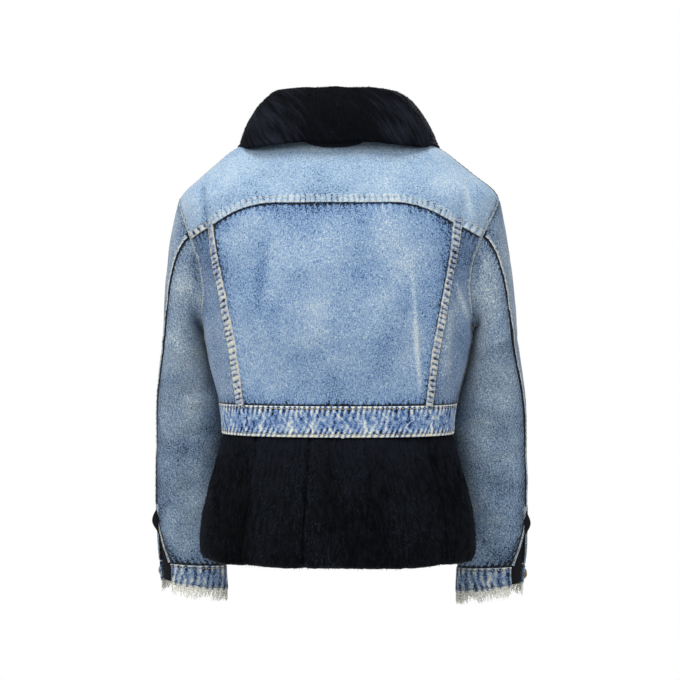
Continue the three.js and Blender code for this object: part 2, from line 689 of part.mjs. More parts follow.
function sleeves() {
  const seam = (column, share) => along(SLEEVE_SEAMS, "along", share, column);
  for (const side of SIDES) {
    const strip = (name, from, to, across) => add(`${name}_${side.name}`, patchWall({
      point: sleevePoint,
      place: (u, v) => [mix(from(v * SLEEVE_END), to(v * SLEEVE_END), u), v * SLEEVE_END],
      across,
      up: 12,
      thick: DENIM_WALL,
      sign: side.sign,
      steps: SLEEVE_STEPS,
    }), greyDenim);
    strip("sleeve_top", (share) => seam("front", share) - 360, (share) => seam("backTop", share), 9);
    strip("sleeve_under", (share) => seam("backUnder", share), (share) => seam("front", share), 10);
    // The slit lining lies inside both edges of the slit.
    add(`slit_lining_${side.name}`, patchWall({
      point: sleevePoint,
      place: (u, v) => {
        const share = mix(SLIT_LINING_TOP, SLIT_LINING_END, v);
        return [mix(seam("backTop", share) - SLIT_MARGIN, seam("backUnder", share) + SLIT_MARGIN, u), share];
      },
      across: 4,
      up: 5,
      lift: -DENIM_WALL - SLIT_DEPTH,
      thick: SLIT_WALL,
      sign: side.sign,
      steps: SLEEVE_STEPS,
    }), lining);
    cuff(side);
  }
}

function cuff(side) {
  const shareAt = (z) => CAP_SHARE + ((1 - CAP_SHARE) * (z - SLEEVE[0].z)) / (CUFF_BOTTOM - SLEEVE[0].z);
  const [top, bottom] = [shareAt(CUFF_TOP), shareAt(CUFF_BOTTOM)];
  // The strip runs from the under sleeve's edge of the slit round to the top sleeve's edge.
  const strip = (share, u) => {
    const from = along(SLEEVE_SEAMS, "along", share, "backUnder");
    const to = along(SLEEVE_SEAMS, "along", share, "backTop") + 360;
    return mix(from, to, u);
  };
  add(`cuff_${side.name}`, patchWall({
    point: sleevePoint,
    place: (u, v) => [strip(mix(bottom, top, v), u), mix(bottom, top, v)],
    across: 26,
    up: 1,
    lift: BAND_STAND,
    thick: BAND_WALL,
    sign: side.sign,
    steps: SLEEVE_STEPS,
  }), stripedDenim);
  addButton(`cuff_button_${side.name}`, sleevePoint, CUFF_BUTTON_TURN, (top + bottom) / 2,
    BAND_STAND + 2 * LAY_GAP, side.sign, SLEEVE_STEPS);

  // The frayed edge hangs from the cuff's lower edge, straight down.
  const outer = [];
  const inner = [];
  const threads = 24;
  const levels = [CUFF_BOTTOM - SEAM_GAP, FRINGE_BOTTOM];
  for (let i = 0; i <= threads; i += 1) {
    const turn = strip(1, mix(0.01, 0.99, i / threads));
    const normal = normalOf(sleevePoint, turn, 1 - SLEEVE_STEPS[1], SLEEVE_STEPS);
    const hang = (z, inset) => {
      const point = sleevePoint(turn, 1).addScaledVector(normal, -inset);
      point.z += z - CUFF_BOTTOM;
      point.x *= side.sign;
      return point;
    };
    outer.push(levels.map((z) => hang(z, 0)));
    inner.push(levels.map((z) => hang(z, FRINGE_WALL)));
  }
  add(`cuff_fringe_${side.name}`, closeWall(outer, inner), cotton);
}

backPieces();
frontPieces();
waistband();
peplum();
collar();
sleeves();

export default garment;
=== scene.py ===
"""Hollow denim jacket with a sheared-fur collar and peplum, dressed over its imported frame.

Metres, +Z up: the front faces -Y and the wearer's left is +X. The cloth follows the same skins as the
part's solids. Their tables are kept in millimetres and turned to metres when a mesh gets its points.
"""
import logging
import math
from dataclasses import dataclass
from enum import Enum
from typing import Callable, Optional, Sequence

import bmesh
import bpy
import numpy as np
from mathutils import Matrix, Vector


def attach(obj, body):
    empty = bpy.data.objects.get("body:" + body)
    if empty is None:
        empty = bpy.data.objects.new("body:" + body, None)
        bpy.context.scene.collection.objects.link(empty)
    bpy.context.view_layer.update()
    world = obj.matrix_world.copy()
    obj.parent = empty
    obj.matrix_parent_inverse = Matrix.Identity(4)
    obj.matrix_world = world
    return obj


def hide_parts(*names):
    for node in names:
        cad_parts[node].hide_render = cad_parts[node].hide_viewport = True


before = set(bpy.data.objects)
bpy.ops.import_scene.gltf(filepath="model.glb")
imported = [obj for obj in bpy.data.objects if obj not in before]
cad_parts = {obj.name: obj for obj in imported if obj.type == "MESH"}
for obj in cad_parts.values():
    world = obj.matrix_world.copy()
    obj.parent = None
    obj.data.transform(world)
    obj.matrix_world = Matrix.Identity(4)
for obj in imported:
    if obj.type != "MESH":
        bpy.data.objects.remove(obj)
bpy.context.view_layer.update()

MM = 0.001
BODY = "root"
LOG = logging.getLogger("jacket")

Array = np.ndarray
Curve = Callable[[Array], tuple[Array, Array]]
Skin = Callable[[Array, Array], Array]


# ---- tables ----

@dataclass(frozen=True)
class Table:
    """Rows of sizes by one place, joined by a smooth curve; the first column is the place."""

    columns: tuple[str, ...]
    rows: tuple[tuple[float, ...], ...]

    def at(self, place: Array, column: str) -> Array:
        """Value of a column at a place.

        Args:
            place: places along the first column.
            column: name of the column that is read.

        Returns:
            The values, one for each place.
        """
        data = np.array(self.rows, float)
        by, values = data[:, 0], data[:, self.columns.index(column)]
        last = len(by) - 1
        before = np.maximum(np.arange(last + 1) - 1, 0)
        after = np.minimum(np.arange(last + 1) + 1, last)
        slope = (values[after] - values[before]) / (by[after] - by[before])
        place = np.asarray(place, float)
        i = np.clip(np.searchsorted(by, place, side="left") - 1, 0, last - 1)
        step = by[i + 1] - by[i]
        t = np.clip((place - by[i]) / step, 0, 1)
        rise = (values[i + 1] - values[i]) / step
        bend = t * (1 - t) * step * ((1 - t) * (slope[i] - rise) - t * (slope[i + 1] - rise))
        return values[i] + (values[i + 1] - values[i]) * t + bend


TORSO = Table(
    ("z", "half_width", "back", "front"),
    (
        (-400, 161, 103, 106), (-352, 166, 104, 106), (-294, 180, 112, 113), (-245, 188, 118, 118),
        (-190, 193, 119, 115), (-136, 208, 116, 104), (-95, 220, 109, 88), (-70, 222, 103, 78),
        (-56, 215, 98, 71), (-37, 193, 90, 62), (-18, 170, 79, 51), (0, 147, 66, 40),
        (14, 118, 55, 30), (28, 68, 38, 18),
    ),
)
PEPLUM = Table(
    ("z", "half_width", "back", "front", "shift"),
    (
        (-570, 184, 116, 105, 12), (-563, 190, 122, 111, 12), (-548, 193, 124, 113, 12),
        (-515, 191, 122, 113, 12), (-472, 182, 117, 111, 9), (-440, 171, 112, 109, 5),
        (-408, 163, 106, 107, 1), (-394, 160, 103, 105, 0),
    ),
)
YOKE_SEAM = Table(
    ("x", "z"), ((0, -78), (60, -78), (96, -79), (130, -88), (165, -106), (200, -124)))
PRINCESS_SEAM = Table(
    ("z", "x"), ((-352, 126), (-290, 134), (-217, 146), (-150, 159), (-106, 165)))
SLEEVE = Table(
    ("z", "x", "y", "half_width", "half_depth", "rise"),
    (
        (-637, 212, -69, 48, 27, 6), (-620, 213, -68, 48, 27, 6), (-587, 215, -66, 48.5, 29, 2),
        (-560, 217, -64, 49, 31, 1), (-515, 217.5, -60, 49.5, 34, 0), (-460, 217, -54, 49.5, 38, 0),
        (-400, 215, -47, 49.5, 42, 0), (-345, 214.5, -40, 47.5, 47, 0), (-300, 218, -33, 38, 54, 0),
        (-262, 219, -28, 31, 60, 0),
    ),
)
SLEEVE_SEAMS = Table(
    ("along", "back_top", "back_under", "front"),
    (
        (0, 66, 66, 262), (0.3, 43, 43, 250), (0.5, 22, 22, 240), (0.74, 22, 22, 236),
        (0.766, 22, 22, 236), (0.79, 20, 24, 236), (0.86, 9, 38, 236), (0.936, 0, 54, 236),
        (1, 6, 50, 236),
    ),
)
COLLAR = Table(
    ("around", "rise", "lean", "spread", "crown", "reach", "swing", "edge"),
    (
        (0, 100, 14, 8, 94, 15, 0, 16), (30, 93, 12, 12, 86, 22, 32, 15), (60, 74, 8, 28, 64, 56, 64, 7),
        (90, 60, 6, 32, 52, 72, 94, 4), (120, 52, 4, 32, 42, 76, 112, -36),
        (150, 34, 2, 32, 26, 74, 118, -88), (174, 16, 0, 26, 10, 70, 108, -126),
    ),
)
# Standing folds of the peplum: angle from the back middle, spread, depth, height and reach.
PEPLUM_FOLDS = (
    (60, 9, 15, -490, 90), (-69, 7, 9, -440, 60), (-33, 8, 4, -432, 38),
    (22, 6, 3, -430, 30), (118, 9, 8, -500, 80), (-120, 9, 8, -480, 70),
)
PEPLUM_SEAMS = (-178.8, -100, -63, 17, 53, 104, 178.8)
PEPLUM_NAMES = ("front_right", "side_right", "back_centre", "back_left", "side_left", "front_left")

BAND_TOP = -352.0
BAND_BOTTOM = -394.0
HEM = -570.0
FULLNESS = 2.3
PEPLUM_FULLNESS = 2.2
NECK_HALF_WIDTH, BACK_NECK, FRONT_NECK, NECK_FULLNESS = 68.0, 66.0, 76.0, 2.5
ARMHOLE_MIDDLE, ARMHOLE_HALF, ARMHOLE_BACK, ARMHOLE_FRONT = -157.0, 87.0, 48.0, 46.0
CAP_SHARE = 0.3
CUFF_TOP, CUFF_BOTTOM, FRINGE_BOTTOM = -587.4, -620.0, -637.0
SLEEVE_END, SLIT_TOP = 0.936, 0.766
FIRST_SECTION = -262.0
DENIM_WALL = 1.6
SEAM_LIFT = 0.1
LAY_GAP = 0.4
BAND_STAND = 0.7
BAND_WALL = 2.6


# ---- small mathematics ----

def mix(a: Array, b: Array, t: Array) -> Array:
    """Value between a and b at the share t."""
    return a + (b - a) * t


def ease(value: Array, low: float, high: float) -> Array:
    """Smooth step from 0 at low to 1 at high."""
    t = np.clip((np.asarray(value, float) - low) / (high - low), 0, 1)
    return t * t * (3 - 2 * t)


def unit(vectors: Array) -> Array:
    """Vectors of length 1 in the same directions."""
    return vectors / np.maximum(np.linalg.norm(vectors, axis=-1, keepdims=True), 1e-12)


class Grain:
    """Smooth seeded noise on a plane, from about -1 to 1, with cells of size 1."""

    SIDE = 128

    def __init__(self, seed: int) -> None:
        """Draws the lattice.

        Args:
            seed: seed of the draw.
        """
        self.lattice = np.random.default_rng(seed).uniform(-1, 1, (self.SIDE, self.SIDE))

    def __call__(self, x: Array, y: Array) -> Array:
        """Noise at the points x, y.

        Args:
            x: places across.
            y: places up.

        Returns:
            One value for each point.
        """
        i, j = np.floor(x).astype(int), np.floor(y).astype(int)
        s, t = x - i, y - j
        s, t = s * s * (3 - 2 * s), t * t * (3 - 2 * t)
        at = lambda a, b: self.lattice[a % self.SIDE, b % self.SIDE]
        low = mix(at(i, j), at(i + 1, j), s)
        return mix(low, mix(at(i, j + 1), at(i + 1, j + 1), s), t)


# ---- skins ----

def oval_radius(turn: Array, half_width: Array, back: Array, front: Array, fullness: float) -> Array:
    """Radius of an oval with its own back and front depth.

    Args:
        turn: angle from the back, in radians.
        half_width: half of the width.
        back: depth behind the middle.
        front: depth before the middle.
        fullness: exponent of the oval.

    Returns:
        The radius at each angle.
    """
    sideways = np.abs(np.sin(turn)) / half_width
    lengthways = np.abs(np.cos(turn)) / np.where(np.cos(turn) > 0, back, front)
    return (sideways**fullness + lengthways**fullness) ** (-1 / fullness)


def torso(angle: Array, z: Array) -> Array:
    """Points of the torso at angles from the back middle, in degrees, and heights."""
    angle, z = np.broadcast_arrays(np.asarray(angle, float), np.asarray(z, float))
    turn = np.radians(angle)
    r = oval_radius(turn, TORSO.at(z, "half_width"), TORSO.at(z, "back"), TORSO.at(z, "front"), FULLNESS)
    return np.stack([r * np.sin(turn), r * np.cos(turn), z], -1)


def peplum(angle: Array, z: Array) -> Array:
    """Points of the peplum, with its standing folds."""
    angle, z = np.broadcast_arrays(np.asarray(angle, float), np.asarray(z, float))
    turn = np.radians(angle)
    r = oval_radius(
        turn, PEPLUM.at(z, "half_width"), PEPLUM.at(z, "back"), PEPLUM.at(z, "front"), PEPLUM_FULLNESS)
    for middle, spread, depth, height, reach in PEPLUM_FOLDS:
        across, down = (angle - middle) / spread, (z - height) / reach
        r = r - depth * np.exp(-across * across - down * down) * ease(BAND_BOTTOM - z, 0, 25)
    return np.stack([r * np.sin(turn), r * np.cos(turn) + PEPLUM.at(z, "shift"), z], -1)


def back_angle(x: Array, z: Array) -> Array:
    """Angle of the torso point on the back at a distance x from the middle."""
    width = np.minimum(np.abs(x) / TORSO.at(z, "half_width"), 1)
    y = TORSO.at(z, "back") * (1 - width**FULLNESS) ** (1 / FULLNESS)
    return np.degrees(np.arctan2(np.abs(x), y)) * np.sign(x)


def under_plan(x: Array, y: Array) -> tuple[Array, Array]:
    """Angle and height of the torso point above a place in plan, found by halving."""
    low, high = np.full(np.shape(x), -400.0), np.full(np.shape(x), 28.0)
    angle = np.degrees(np.arctan2(x, y))
    for _ in range(40):
        z = (low + high) / 2
        outside = np.linalg.norm(torso(angle, z)[..., :2], axis=-1) > np.hypot(x, y)
        low, high = np.where(outside, z, low), np.where(outside, high, z)
    return angle, (low + high) / 2


def neck_seam(around: Array) -> tuple[Array, Array]:
    """Angle and height of the neck seam at an angle round the neck hole."""
    turn = np.radians(np.asarray(around, float))
    r = oval_radius(turn, NECK_HALF_WIDTH, BACK_NECK, FRONT_NECK, NECK_FULLNESS)
    return under_plan(r * np.sin(turn), r * np.cos(turn))


def armhole_seam(turn: Array) -> tuple[Array, Array]:
    """Angle and height on the armhole at a turn from its top: 90 is its back, 270 its front."""
    turn = np.radians(np.asarray(turn, float))
    z = ARMHOLE_MIDDLE + ARMHOLE_HALF * np.cos(turn)
    y = np.sin(turn) * np.where(np.sin(turn) > 0, ARMHOLE_BACK, ARMHOLE_FRONT)
    depth = np.where(y > 0, TORSO.at(z, "back"), TORSO.at(z, "front"))
    x = TORSO.at(z, "half_width") * (1 - (np.abs(y) / depth) ** FULLNESS) ** (1 / FULLNESS)
    return np.degrees(np.arctan2(x, y)), z


def armhole_turn(z: float) -> float:
    """Turn round the armhole at which its back side is at a height."""
    return math.degrees(math.acos((z - ARMHOLE_MIDDLE) / ARMHOLE_HALF))


def normals(skin: Skin, a: Array, b: Array, steps: tuple[float, float]) -> Array:
    """Outward normals of a skin whose first value runs across and whose second runs up."""
    across = skin(a + steps[0], b) - skin(a - steps[0], b)
    up = skin(a, b + steps[1]) - skin(a, b - steps[1])
    return unit(np.cross(up, across))


TORSO_STEPS = (0.05, 0.05)
PEPLUM_STEPS = (0.5, 1.0)
COLLAR_STEPS = (0.4, 0.004)
SLEEVE_STEPS = (0.4, 0.002)


def sleeve_section(turn: Array, z: Array) -> Array:
    """Points of the sleeve below the armhole."""
    cos, sin = np.cos(np.radians(turn)), np.sin(np.radians(turn))
    x = SLEEVE.at(z, "x") + SLEEVE.at(z, "half_width") * cos
    y = SLEEVE.at(z, "y") + SLEEVE.at(z, "half_depth") * sin
    return np.stack([x, y, z + SLEEVE.at(z, "rise") * cos], -1)


def sleeve(turn: Array, share: Array) -> Array:
    """Points of the left sleeve, at turns round it and shares along it."""
    turn, share = np.broadcast_arrays(np.asarray(turn, float), np.asarray(share, float))
    low_z = FIRST_SECTION + (CUFF_BOTTOM - FIRST_SECTION) * (share - CAP_SHARE) / (1 - CAP_SHARE)
    lower = sleeve_section(turn, np.minimum(low_z, FIRST_SECTION))
    angle, z = armhole_seam(turn)
    high = ((1 + np.cos(np.radians(turn))) / 2)[..., None]
    stand = LAY_GAP + SEAM_LIFT + (DENIM_WALL + SEAM_LIFT) * high
    start = torso(angle, z) + normals(torso, angle, z, TORSO_STEPS) * stand
    end = sleeve_section(turn, np.full(turn.shape, FIRST_SECTION))
    zero = np.zeros_like(high)
    leave = unit(np.concatenate([mix(1, 0.3, high), zero, -high], -1)) * mix(22, 150, high)
    arrive = np.concatenate([zero, zero, -mix(30, 150, high)], -1)
    t = np.clip(share / CAP_SHARE, None, 1)[..., None]
    s = 1 - t
    cap = (start * s * s * (1 + 2 * t) + leave * t * s * s - arrive * t * t * s
           + end * t * t * (1 + 2 * s))
    return np.where((share >= CAP_SHARE)[..., None], lower, cap)


def sleeve_share(z: float) -> float:
    """Share along the sleeve at a height below its cap."""
    return CAP_SHARE + (1 - CAP_SHARE) * (z - FIRST_SECTION) / (CUFF_BOTTOM - FIRST_SECTION)


def clear_torso(points: Array, lift: Array) -> Array:
    """Points moved out of the torso until they are lift off it."""
    points = points.copy()
    for _ in range(4):
        angle = np.degrees(np.arctan2(points[..., 0], points[..., 1]))
        z = np.clip(points[..., 2], -400, 28)
        near, normal = torso(angle, z), normals(torso, angle, z, TORSO_STEPS)
        off = ((points - near) * normal).sum(-1)
        push = np.where((points[..., 2] <= 28) & (off < lift), lift - off, 0)
        points += normal * push[..., None]
    return points


def collar_section(around: Array, share: Array) -> Array:
    """Points of the collar at angles round the neck and shares of its section, seam 0 to edge 1."""
    around, share = np.broadcast_arrays(np.asarray(around, float), np.asarray(share, float))
    place = np.abs(around)
    angle, z = neck_seam(place)
    seam = torso(angle, z) + normals(torso, angle, z, TORSO_STEPS) * SEAM_LIFT
    out = lambda swing: np.stack(
        [np.sin(np.radians(swing)), np.cos(np.radians(swing)), np.zeros_like(swing)], -1)
    at = lambda column: COLLAR.at(place, column)[..., None]
    up = np.array([0.0, 0.0, 1.0])
    lean = seam - out(place) * at("lean") + up * at("rise")
    swing = out(COLLAR.at(place, "swing"))
    crown = seam + swing * at("spread") + up * at("crown")
    edge = seam + swing * at("reach")
    edge[..., 2] = COLLAR.at(place, "edge")
    t = share[..., None]
    s = 1 - t
    points = seam * s**3 + lean * 3 * s * s * t + crown * 3 * s * t * t + edge * t**3
    points = clear_torso(points, SEAM_LIFT + 5 * ease(share, 0, 0.3))
    points[..., 0] *= np.where(around < 0, -1, 1)
    return points


def collar(around: Array, share: Array) -> Array:
    """Points of the collar with shares from its edge 0 to its seam 1, its outside facing out."""
    return collar_section(around, 1 - np.asarray(share, float))


# ---- creases ----

CREASE_SLACK = 16.0


@dataclass(frozen=True)
class Crease:
    """A soft trough (depth below 0) or ridge (above 0) between two places, in millimetres.

    The line of a crease is rubbed paler where worn is above 0; where worn is below 0 the trough is darkened
    with painted shade.
    """

    start: tuple[float, float, float]
    end: tuple[float, float, float]
    width: float
    depth: float
    # Above 0 this is abrasion on a ridge; below 0 it is painted shade in a trough.
    worn: float = 0.0

    def share(self, points: Array) -> Array:
        """How much of the crease is at each point.

        Args:
            points: points of the skin.

        Returns:
            Shares from 0 to 1.
        """
        start, line = np.array(self.start), np.array(self.end) - np.array(self.start)
        t = ((points - start) @ line) / (line @ line)
        away = np.abs(points - start - np.clip(t, 0, 1)[..., None] * line)
        # The ends are placed as seen from behind, so the cloth may lie a little behind or before them.
        away[..., 1] = np.maximum(away[..., 1] - CREASE_SLACK, 0)
        off = np.linalg.norm(away, axis=-1)
        taper = ease(t, -0.15, 0.3) * ease(1 - t, -0.15, 0.3)
        return taper * np.exp(-((off / self.width) ** 2))


# Places on the back have y above 0, and the wearer's left has x above 0.
CREASES = (
    # yoke: a drag line down to each end of the yoke seam, and hollows below the collar
    Crease((186, 70, -38), (176, 88, -104), 5, -5.5, -1.3),
    Crease((-178, 78, -42), (-188, 74, -100), 3, 1.6, 0.8),
    Crease((178, 76, -40), (166, 92, -92), 9, 2.6),
    Crease((-186, 70, -40), (-178, 86, -104), 7, -3.6),
    Crease((120, 85, -22), (60, 100, -66), 20, -2.2),
    Crease((-118, 85, -20), (-70, 98, -60), 22, -2.0),
    # centre panel: one pressed line, hollows in from the side seams and at the waist
    Crease((-107, 112, -170), (-119, 100, -352), 3.0, 1.8, 1.3),
    Crease((88, 112, -120), (104, 108, -230), 9, -2.2, -0.7),
    Crease((-99, 112, -190), (-105, 106, -345), 6, -1.3),
    Crease((140, 90, -230), (70, 112, -335), 26, -3.0),
    Crease((-128, 100, -250), (-50, 114, -340), 30, -2.6),
    Crease((40, 118, -120), (30, 118, -300), 46, 2.4),
    Crease((-60, 116, -130), (-20, 117, -250), 36, -1.8),
    Crease((104, 108, -110), (120, 104, -200), 24, -1.8),
    # side panels
    Crease((-158, 76, -220), (-146, 74, -340), 9, 3.6, 0.5),
    Crease((-163, 80, -180), (-184, 48, -238), 4, 2.4, 1.0),
    Crease((-188, 4, -238), (-188, -8, -266), 9, 2.8),
    Crease((188, 4, -238), (188, -8, -266), 9, 2.0),
    Crease((196, 50, -140), (190, 62, -200), 7, -3.0, -1.0),
    Crease((-196, 50, -140), (-190, 62, -200), 7, -2.6, -0.8),
    Crease((-168, 60, -200), (-160, 60, -320), 8, -3.2),
    Crease((172, 66, -190), (158, 66, -330), 12, -3.0),
    Crease((160, 80, -230), (146, 78, -345), 8, 1.8),
    # front panels, as the back's
    Crease((90, -112, -200), (60, -113, -330), 22, -3.0),
    Crease((-95, -110, -180), (-70, -112, -330), 20, -2.6),
    Crease((150, -70, -130), (110, -96, -220), 18, -3.2),
    Crease((-150, -70, -130), (-112, -96, -230), 18, -3.0),
    # left sleeve: drag lines from the underarm, folds at the elbow and the forearm
    Crease((188, -10, -250), (240, 22, -200), 12, -4.2),
    Crease((200, 12, -290), (246, 18, -262), 9, 2.6),
    Crease((178, -30, -330), (236, 4, -352), 11, -4.6),
    Crease((190, -14, -356), (256, -8, -338), 9, 2.8),
    Crease((172, -38, -392), (232, -8, -404), 10, -3.6),
    Crease((204, -8, -430), (262, -38, -416), 12, -2.8),
    Crease((206, -16, -470), (256, -34, -500), 14, -3.0),
    Crease((176, -50, -480), (222, -20, -520), 12, 2.2),
    Crease((214, -22, -400), (210, -30, -560), 16, -2.2),
    Crease((240, -26, -440), (238, -36, -560), 13, 2.2),
    # right sleeve, less regular
    Crease((-188, -8, -246), (-238, 24, -210), 12, -4.4),
    Crease((-196, 10, -282), (-246, 16, -250), 10, 2.4),
    Crease((-180, -28, -318), (-244, 2, -340), 11, -4.2),
    Crease((-190, -16, -348), (-250, -8, -372), 10, 2.8),
    Crease((-174, -36, -376), (-232, -8, -410), 11, -3.6),
    Crease((-206, -8, -440), (-262, -38, -424), 12, -3.0),
    Crease((-186, -30, -452), (-240, -24, -486), 12, -3.2),
    Crease((-200, -22, -500), (-250, -44, -520), 12, 2.2),
    Crease((-216, -22, -410), (-212, -30, -560), 15, -2.0),
    Crease((-170, -60, -372), (-170, -60, -436), 24, 5.5),
    Crease((-196, 20, -190), (-186, 0, -250), 10, -3.0, -0.9),
    Crease((204, 24, -190), (190, 0, -250), 9, -3.0, -0.8),
    # sleeves towards the front, finished as the back
    Crease((230, -84, -320), (196, -84, -350), 10, -3.6),
    Crease((-228, -84, -330), (-194, -84, -350), 10, -3.6),
    Crease((240, -80, -420), (204, -92, -440), 12, -3.0),
    Crease((-240, -80, -410), (-204, -92, -436), 12, -3.0),
)


class Drape:
    """How the denim stands off its skin: the creases and a slow unevenness."""

    LIMIT = 6.0

    def __init__(self) -> None:
        """Draws the unevenness."""
        self.slow = [Grain(11), Grain(12), Grain(13)]

    def height(self, points: Array) -> Array:
        """Lift of the cloth at points of the skin.

        Args:
            points: points in millimetres.

        Returns:
            Heights in millimetres, below 0 for hollows.
        """
        x, y, z = points[..., 0], points[..., 1], points[..., 2]
        lift = sum(crease.depth * crease.share(points) for crease in CREASES)
        around = np.degrees(np.arctan2(x, y))
        lift = lift + 1.3 * self.slow[0](around / 21 + 9, z / 74) + 0.6 * self.slow[1](x / 27 + 40, z / 33)
        lift = lift + 0.28 * self.slow[2](around / 3.4, z / 11)
        return np.clip(lift, -self.LIMIT, self.LIMIT)

    def worn_and_shaded(self, points: Array) -> Array:
        """How much paler (above 0) or darker the creases' lines are at points of the skin; the darker lines
        are painted shade in the troughs.
        """
        return sum(crease.worn * crease.share(points) for crease in CREASES if crease.worn)


DRAPE = Drape()


class Pucker:
    """Ripples of a sewn seam: where the thread draws the cloth in, folds stand side by side."""

    def __init__(self, seed: int, pitch: float) -> None:
        """Keeps the ripples' length.

        Args:
            seed: seed of their unevenness.
            pitch: usual distance between ridges, in millimetres.
        """
        self.pitch, self.grain = pitch, Grain(seed)

    def __call__(self, along: Array, row: float = 0.0) -> Array:
        """Height of the ripple, from -1 to 1.

        Args:
            along: distances along the seam, in millimetres.
            row: a number that tells one seam from another.

        Returns:
            One height for each distance.
        """
        along = np.asarray(along, float)
        phase = 2.6 * self.grain(along / 24 + row * 7, np.full(along.shape, row))
        wave = np.sin(2 * np.pi * along / self.pitch + phase)
        strength = 0.72 + 0.28 * self.grain(along / 13, np.full(along.shape, row + 5.5))
        return wave * strength


# ---- materials ----

def linear(colour: str) -> tuple[float, float, float, float]:
    """Linear colour of an sRGB hex value such as "#a9bacb"."""
    parts = [int(colour[i:i + 2], 16) / 255 for i in (1, 3, 5)]
    return (*[p / 12.92 if p <= 0.04045 else ((p + 0.055) / 1.055) ** 2.4 for p in parts], 1.0)


def add_node(tree: bpy.types.NodeTree, kind: str, inputs: Optional[dict] = None,
             **settings: object) -> bpy.types.Node:
    """Adds a node with its settings, values and links.

    Args:
        tree: the material's tree.
        kind: type of the node, as Blender names it.
        inputs: for each socket, by name or number, its value or the output that is linked to it.
        settings: properties of the node.

    Returns:
        The node.
    """
    made = tree.nodes.new(kind)
    for name, value in settings.items():
        setattr(made, name, value)
    for socket, value in (inputs or {}).items():
        if isinstance(value, bpy.types.NodeSocket):
            tree.links.new(value, made.inputs[socket])
        else:
            made.inputs[socket].default_value = value
    return made


def new_material(name: str) -> tuple[bpy.types.Material, bpy.types.NodeTree, bpy.types.Node]:
    """A new material, its tree and its shader."""
    material = bpy.data.materials.new(name)
    material.use_nodes = True
    tree = material.node_tree
    return material, tree, tree.nodes["Principled BSDF"]


def scaled_sum(tree: bpy.types.NodeTree, value: object, share: object,
               rest: object) -> bpy.types.NodeSocket:
    """Output of value times share plus rest, each a number or another node's output."""
    total = add_node(tree, "ShaderNodeMath", {0: value, 1: share, 2: rest}, operation="MULTIPLY_ADD")
    return total.outputs[0]


def colour_by(tree: bpy.types.NodeTree, shader: bpy.types.Node, value: bpy.types.NodeSocket,
              stops: Sequence[tuple[float, str]]) -> None:
    """Colours a shader by a value.

    Args:
        tree: the material's tree.
        shader: its shader.
        value: the value that is read.
        stops: values and their sRGB hex colours, from the first to the last.
    """
    ramp = add_node(tree, "ShaderNodeValToRGB", {"Fac": value})
    elements = ramp.color_ramp.elements
    for element, (position, colour) in zip(elements, (stops[0], stops[-1])):
        element.position, element.color = position, linear(colour)
    for position, colour in stops[1:-1]:
        elements.new(position).color = linear(colour)
    tree.links.new(ramp.outputs["Color"], shader.inputs["Base Color"])


def emboss(tree: bpy.types.NodeTree, shader: bpy.types.Node, height: bpy.types.NodeSocket,
           strength: float, depth_mm: float) -> None:
    """Gives a shader a relief.

    Args:
        tree: the material's tree.
        shader: its shader.
        height: height of the relief, from 0 to 1.
        strength: how much of it shows.
        depth_mm: its depth, in millimetres.
    """
    bump = add_node(tree, "ShaderNodeBump", {
        "Height": height, "Strength": strength, "Distance": depth_mm * MM})
    tree.links.new(bump.outputs["Normal"], shader.inputs["Normal"])


@dataclass(frozen=True)
class Denim:
    """Cotton twill, dyed with indigo and stone-washed: blue warp over ecru weft, worn to flecks."""

    name: str
    deep: str
    body: str
    pale: str
    ecru: str = "#bfc6c6"
    # The near-black shade stop is reached by the painted shadows at the seams' edges; the darkest flecks come
    # close to it.
    shade: str = "#0b1019"
    fleck_mm: float = 1.9
    cloud_mm: float = 60.0
    slub_gap_mm: float = 1.3
    slub_run_mm: float = 7.0
    cloud_share: float = 0.8
    slub_share: float = 0.5
    fleck_share: float = 2.1
    seam_share: float = 0.34

    def build(self) -> bpy.types.Material:
        """Makes the material.

        Returns:
            The material, which reads Object coordinates, the cloth's UV map and the "rub" attribute.
        """
        material, tree, shader = new_material(self.name)
        place = add_node(tree, "ShaderNodeTexCoord")
        where = place.outputs["Object"]
        cloud = add_node(tree, "ShaderNodeTexNoise", {
            "Vector": where, "Scale": 1 / (self.cloud_mm * MM), "Detail": 2.0})
        # The flecks of the twill are about 0.6 mm on real cloth; they are drawn coarse, to be seen at all.
        fleck = add_node(tree, "ShaderNodeTexNoise", {
            "Vector": where, "Scale": 1 / (self.fleck_mm * MM), "Detail": 2.0, "Roughness": 0.75})
        # Slubs are the thick places of the warp, and run along the cloth.
        slub_place = add_node(tree, "ShaderNodeMapping", {
            "Vector": place.outputs["UV"],
            "Scale": (1 / (self.slub_gap_mm * MM), 1 / (self.slub_run_mm * MM), 1.0)})
        slub = add_node(tree, "ShaderNodeTexNoise", {
            "Vector": slub_place.outputs[0], "Scale": 1.0, "Detail": 2.0}, noise_dimensions="2D")
        worn_and_shaded = add_node(tree, "ShaderNodeAttribute", attribute_name="worn_and_shaded")
        # Every noise is 0.5 in the mean, so the sum of them all is too, which is the body colour.
        rest = 0.5 - 0.5 * (self.cloud_share + self.fleck_share + self.slub_share)
        value = scaled_sum(tree, cloud.outputs[0], self.cloud_share, rest)
        value = scaled_sum(tree, fleck.outputs[0], self.fleck_share, value)
        value = scaled_sum(tree, slub.outputs[0], self.slub_share, value)
        value = scaled_sum(tree, worn_and_shaded.outputs["Fac"], self.seam_share, value)
        colour_by(tree, shader, value, ((0.0, self.shade), (0.1, self.deep), (0.5, self.body),
                                        (0.8, self.pale), (0.98, self.ecru)))
        relief = add_node(tree, "ShaderNodeMath", {0: fleck.outputs[0], 1: slub.outputs[0]}, operation="ADD")
        emboss(tree, shader, relief.outputs[0], 0.5, 0.35)
        shader.inputs["Roughness"].default_value = 0.92
        shader.inputs["Specular IOR Level"].default_value = 0.2
        shader.inputs["Sheen Weight"].default_value = 0.12
        shader.inputs["Sheen Roughness"].default_value = 0.5
        return material


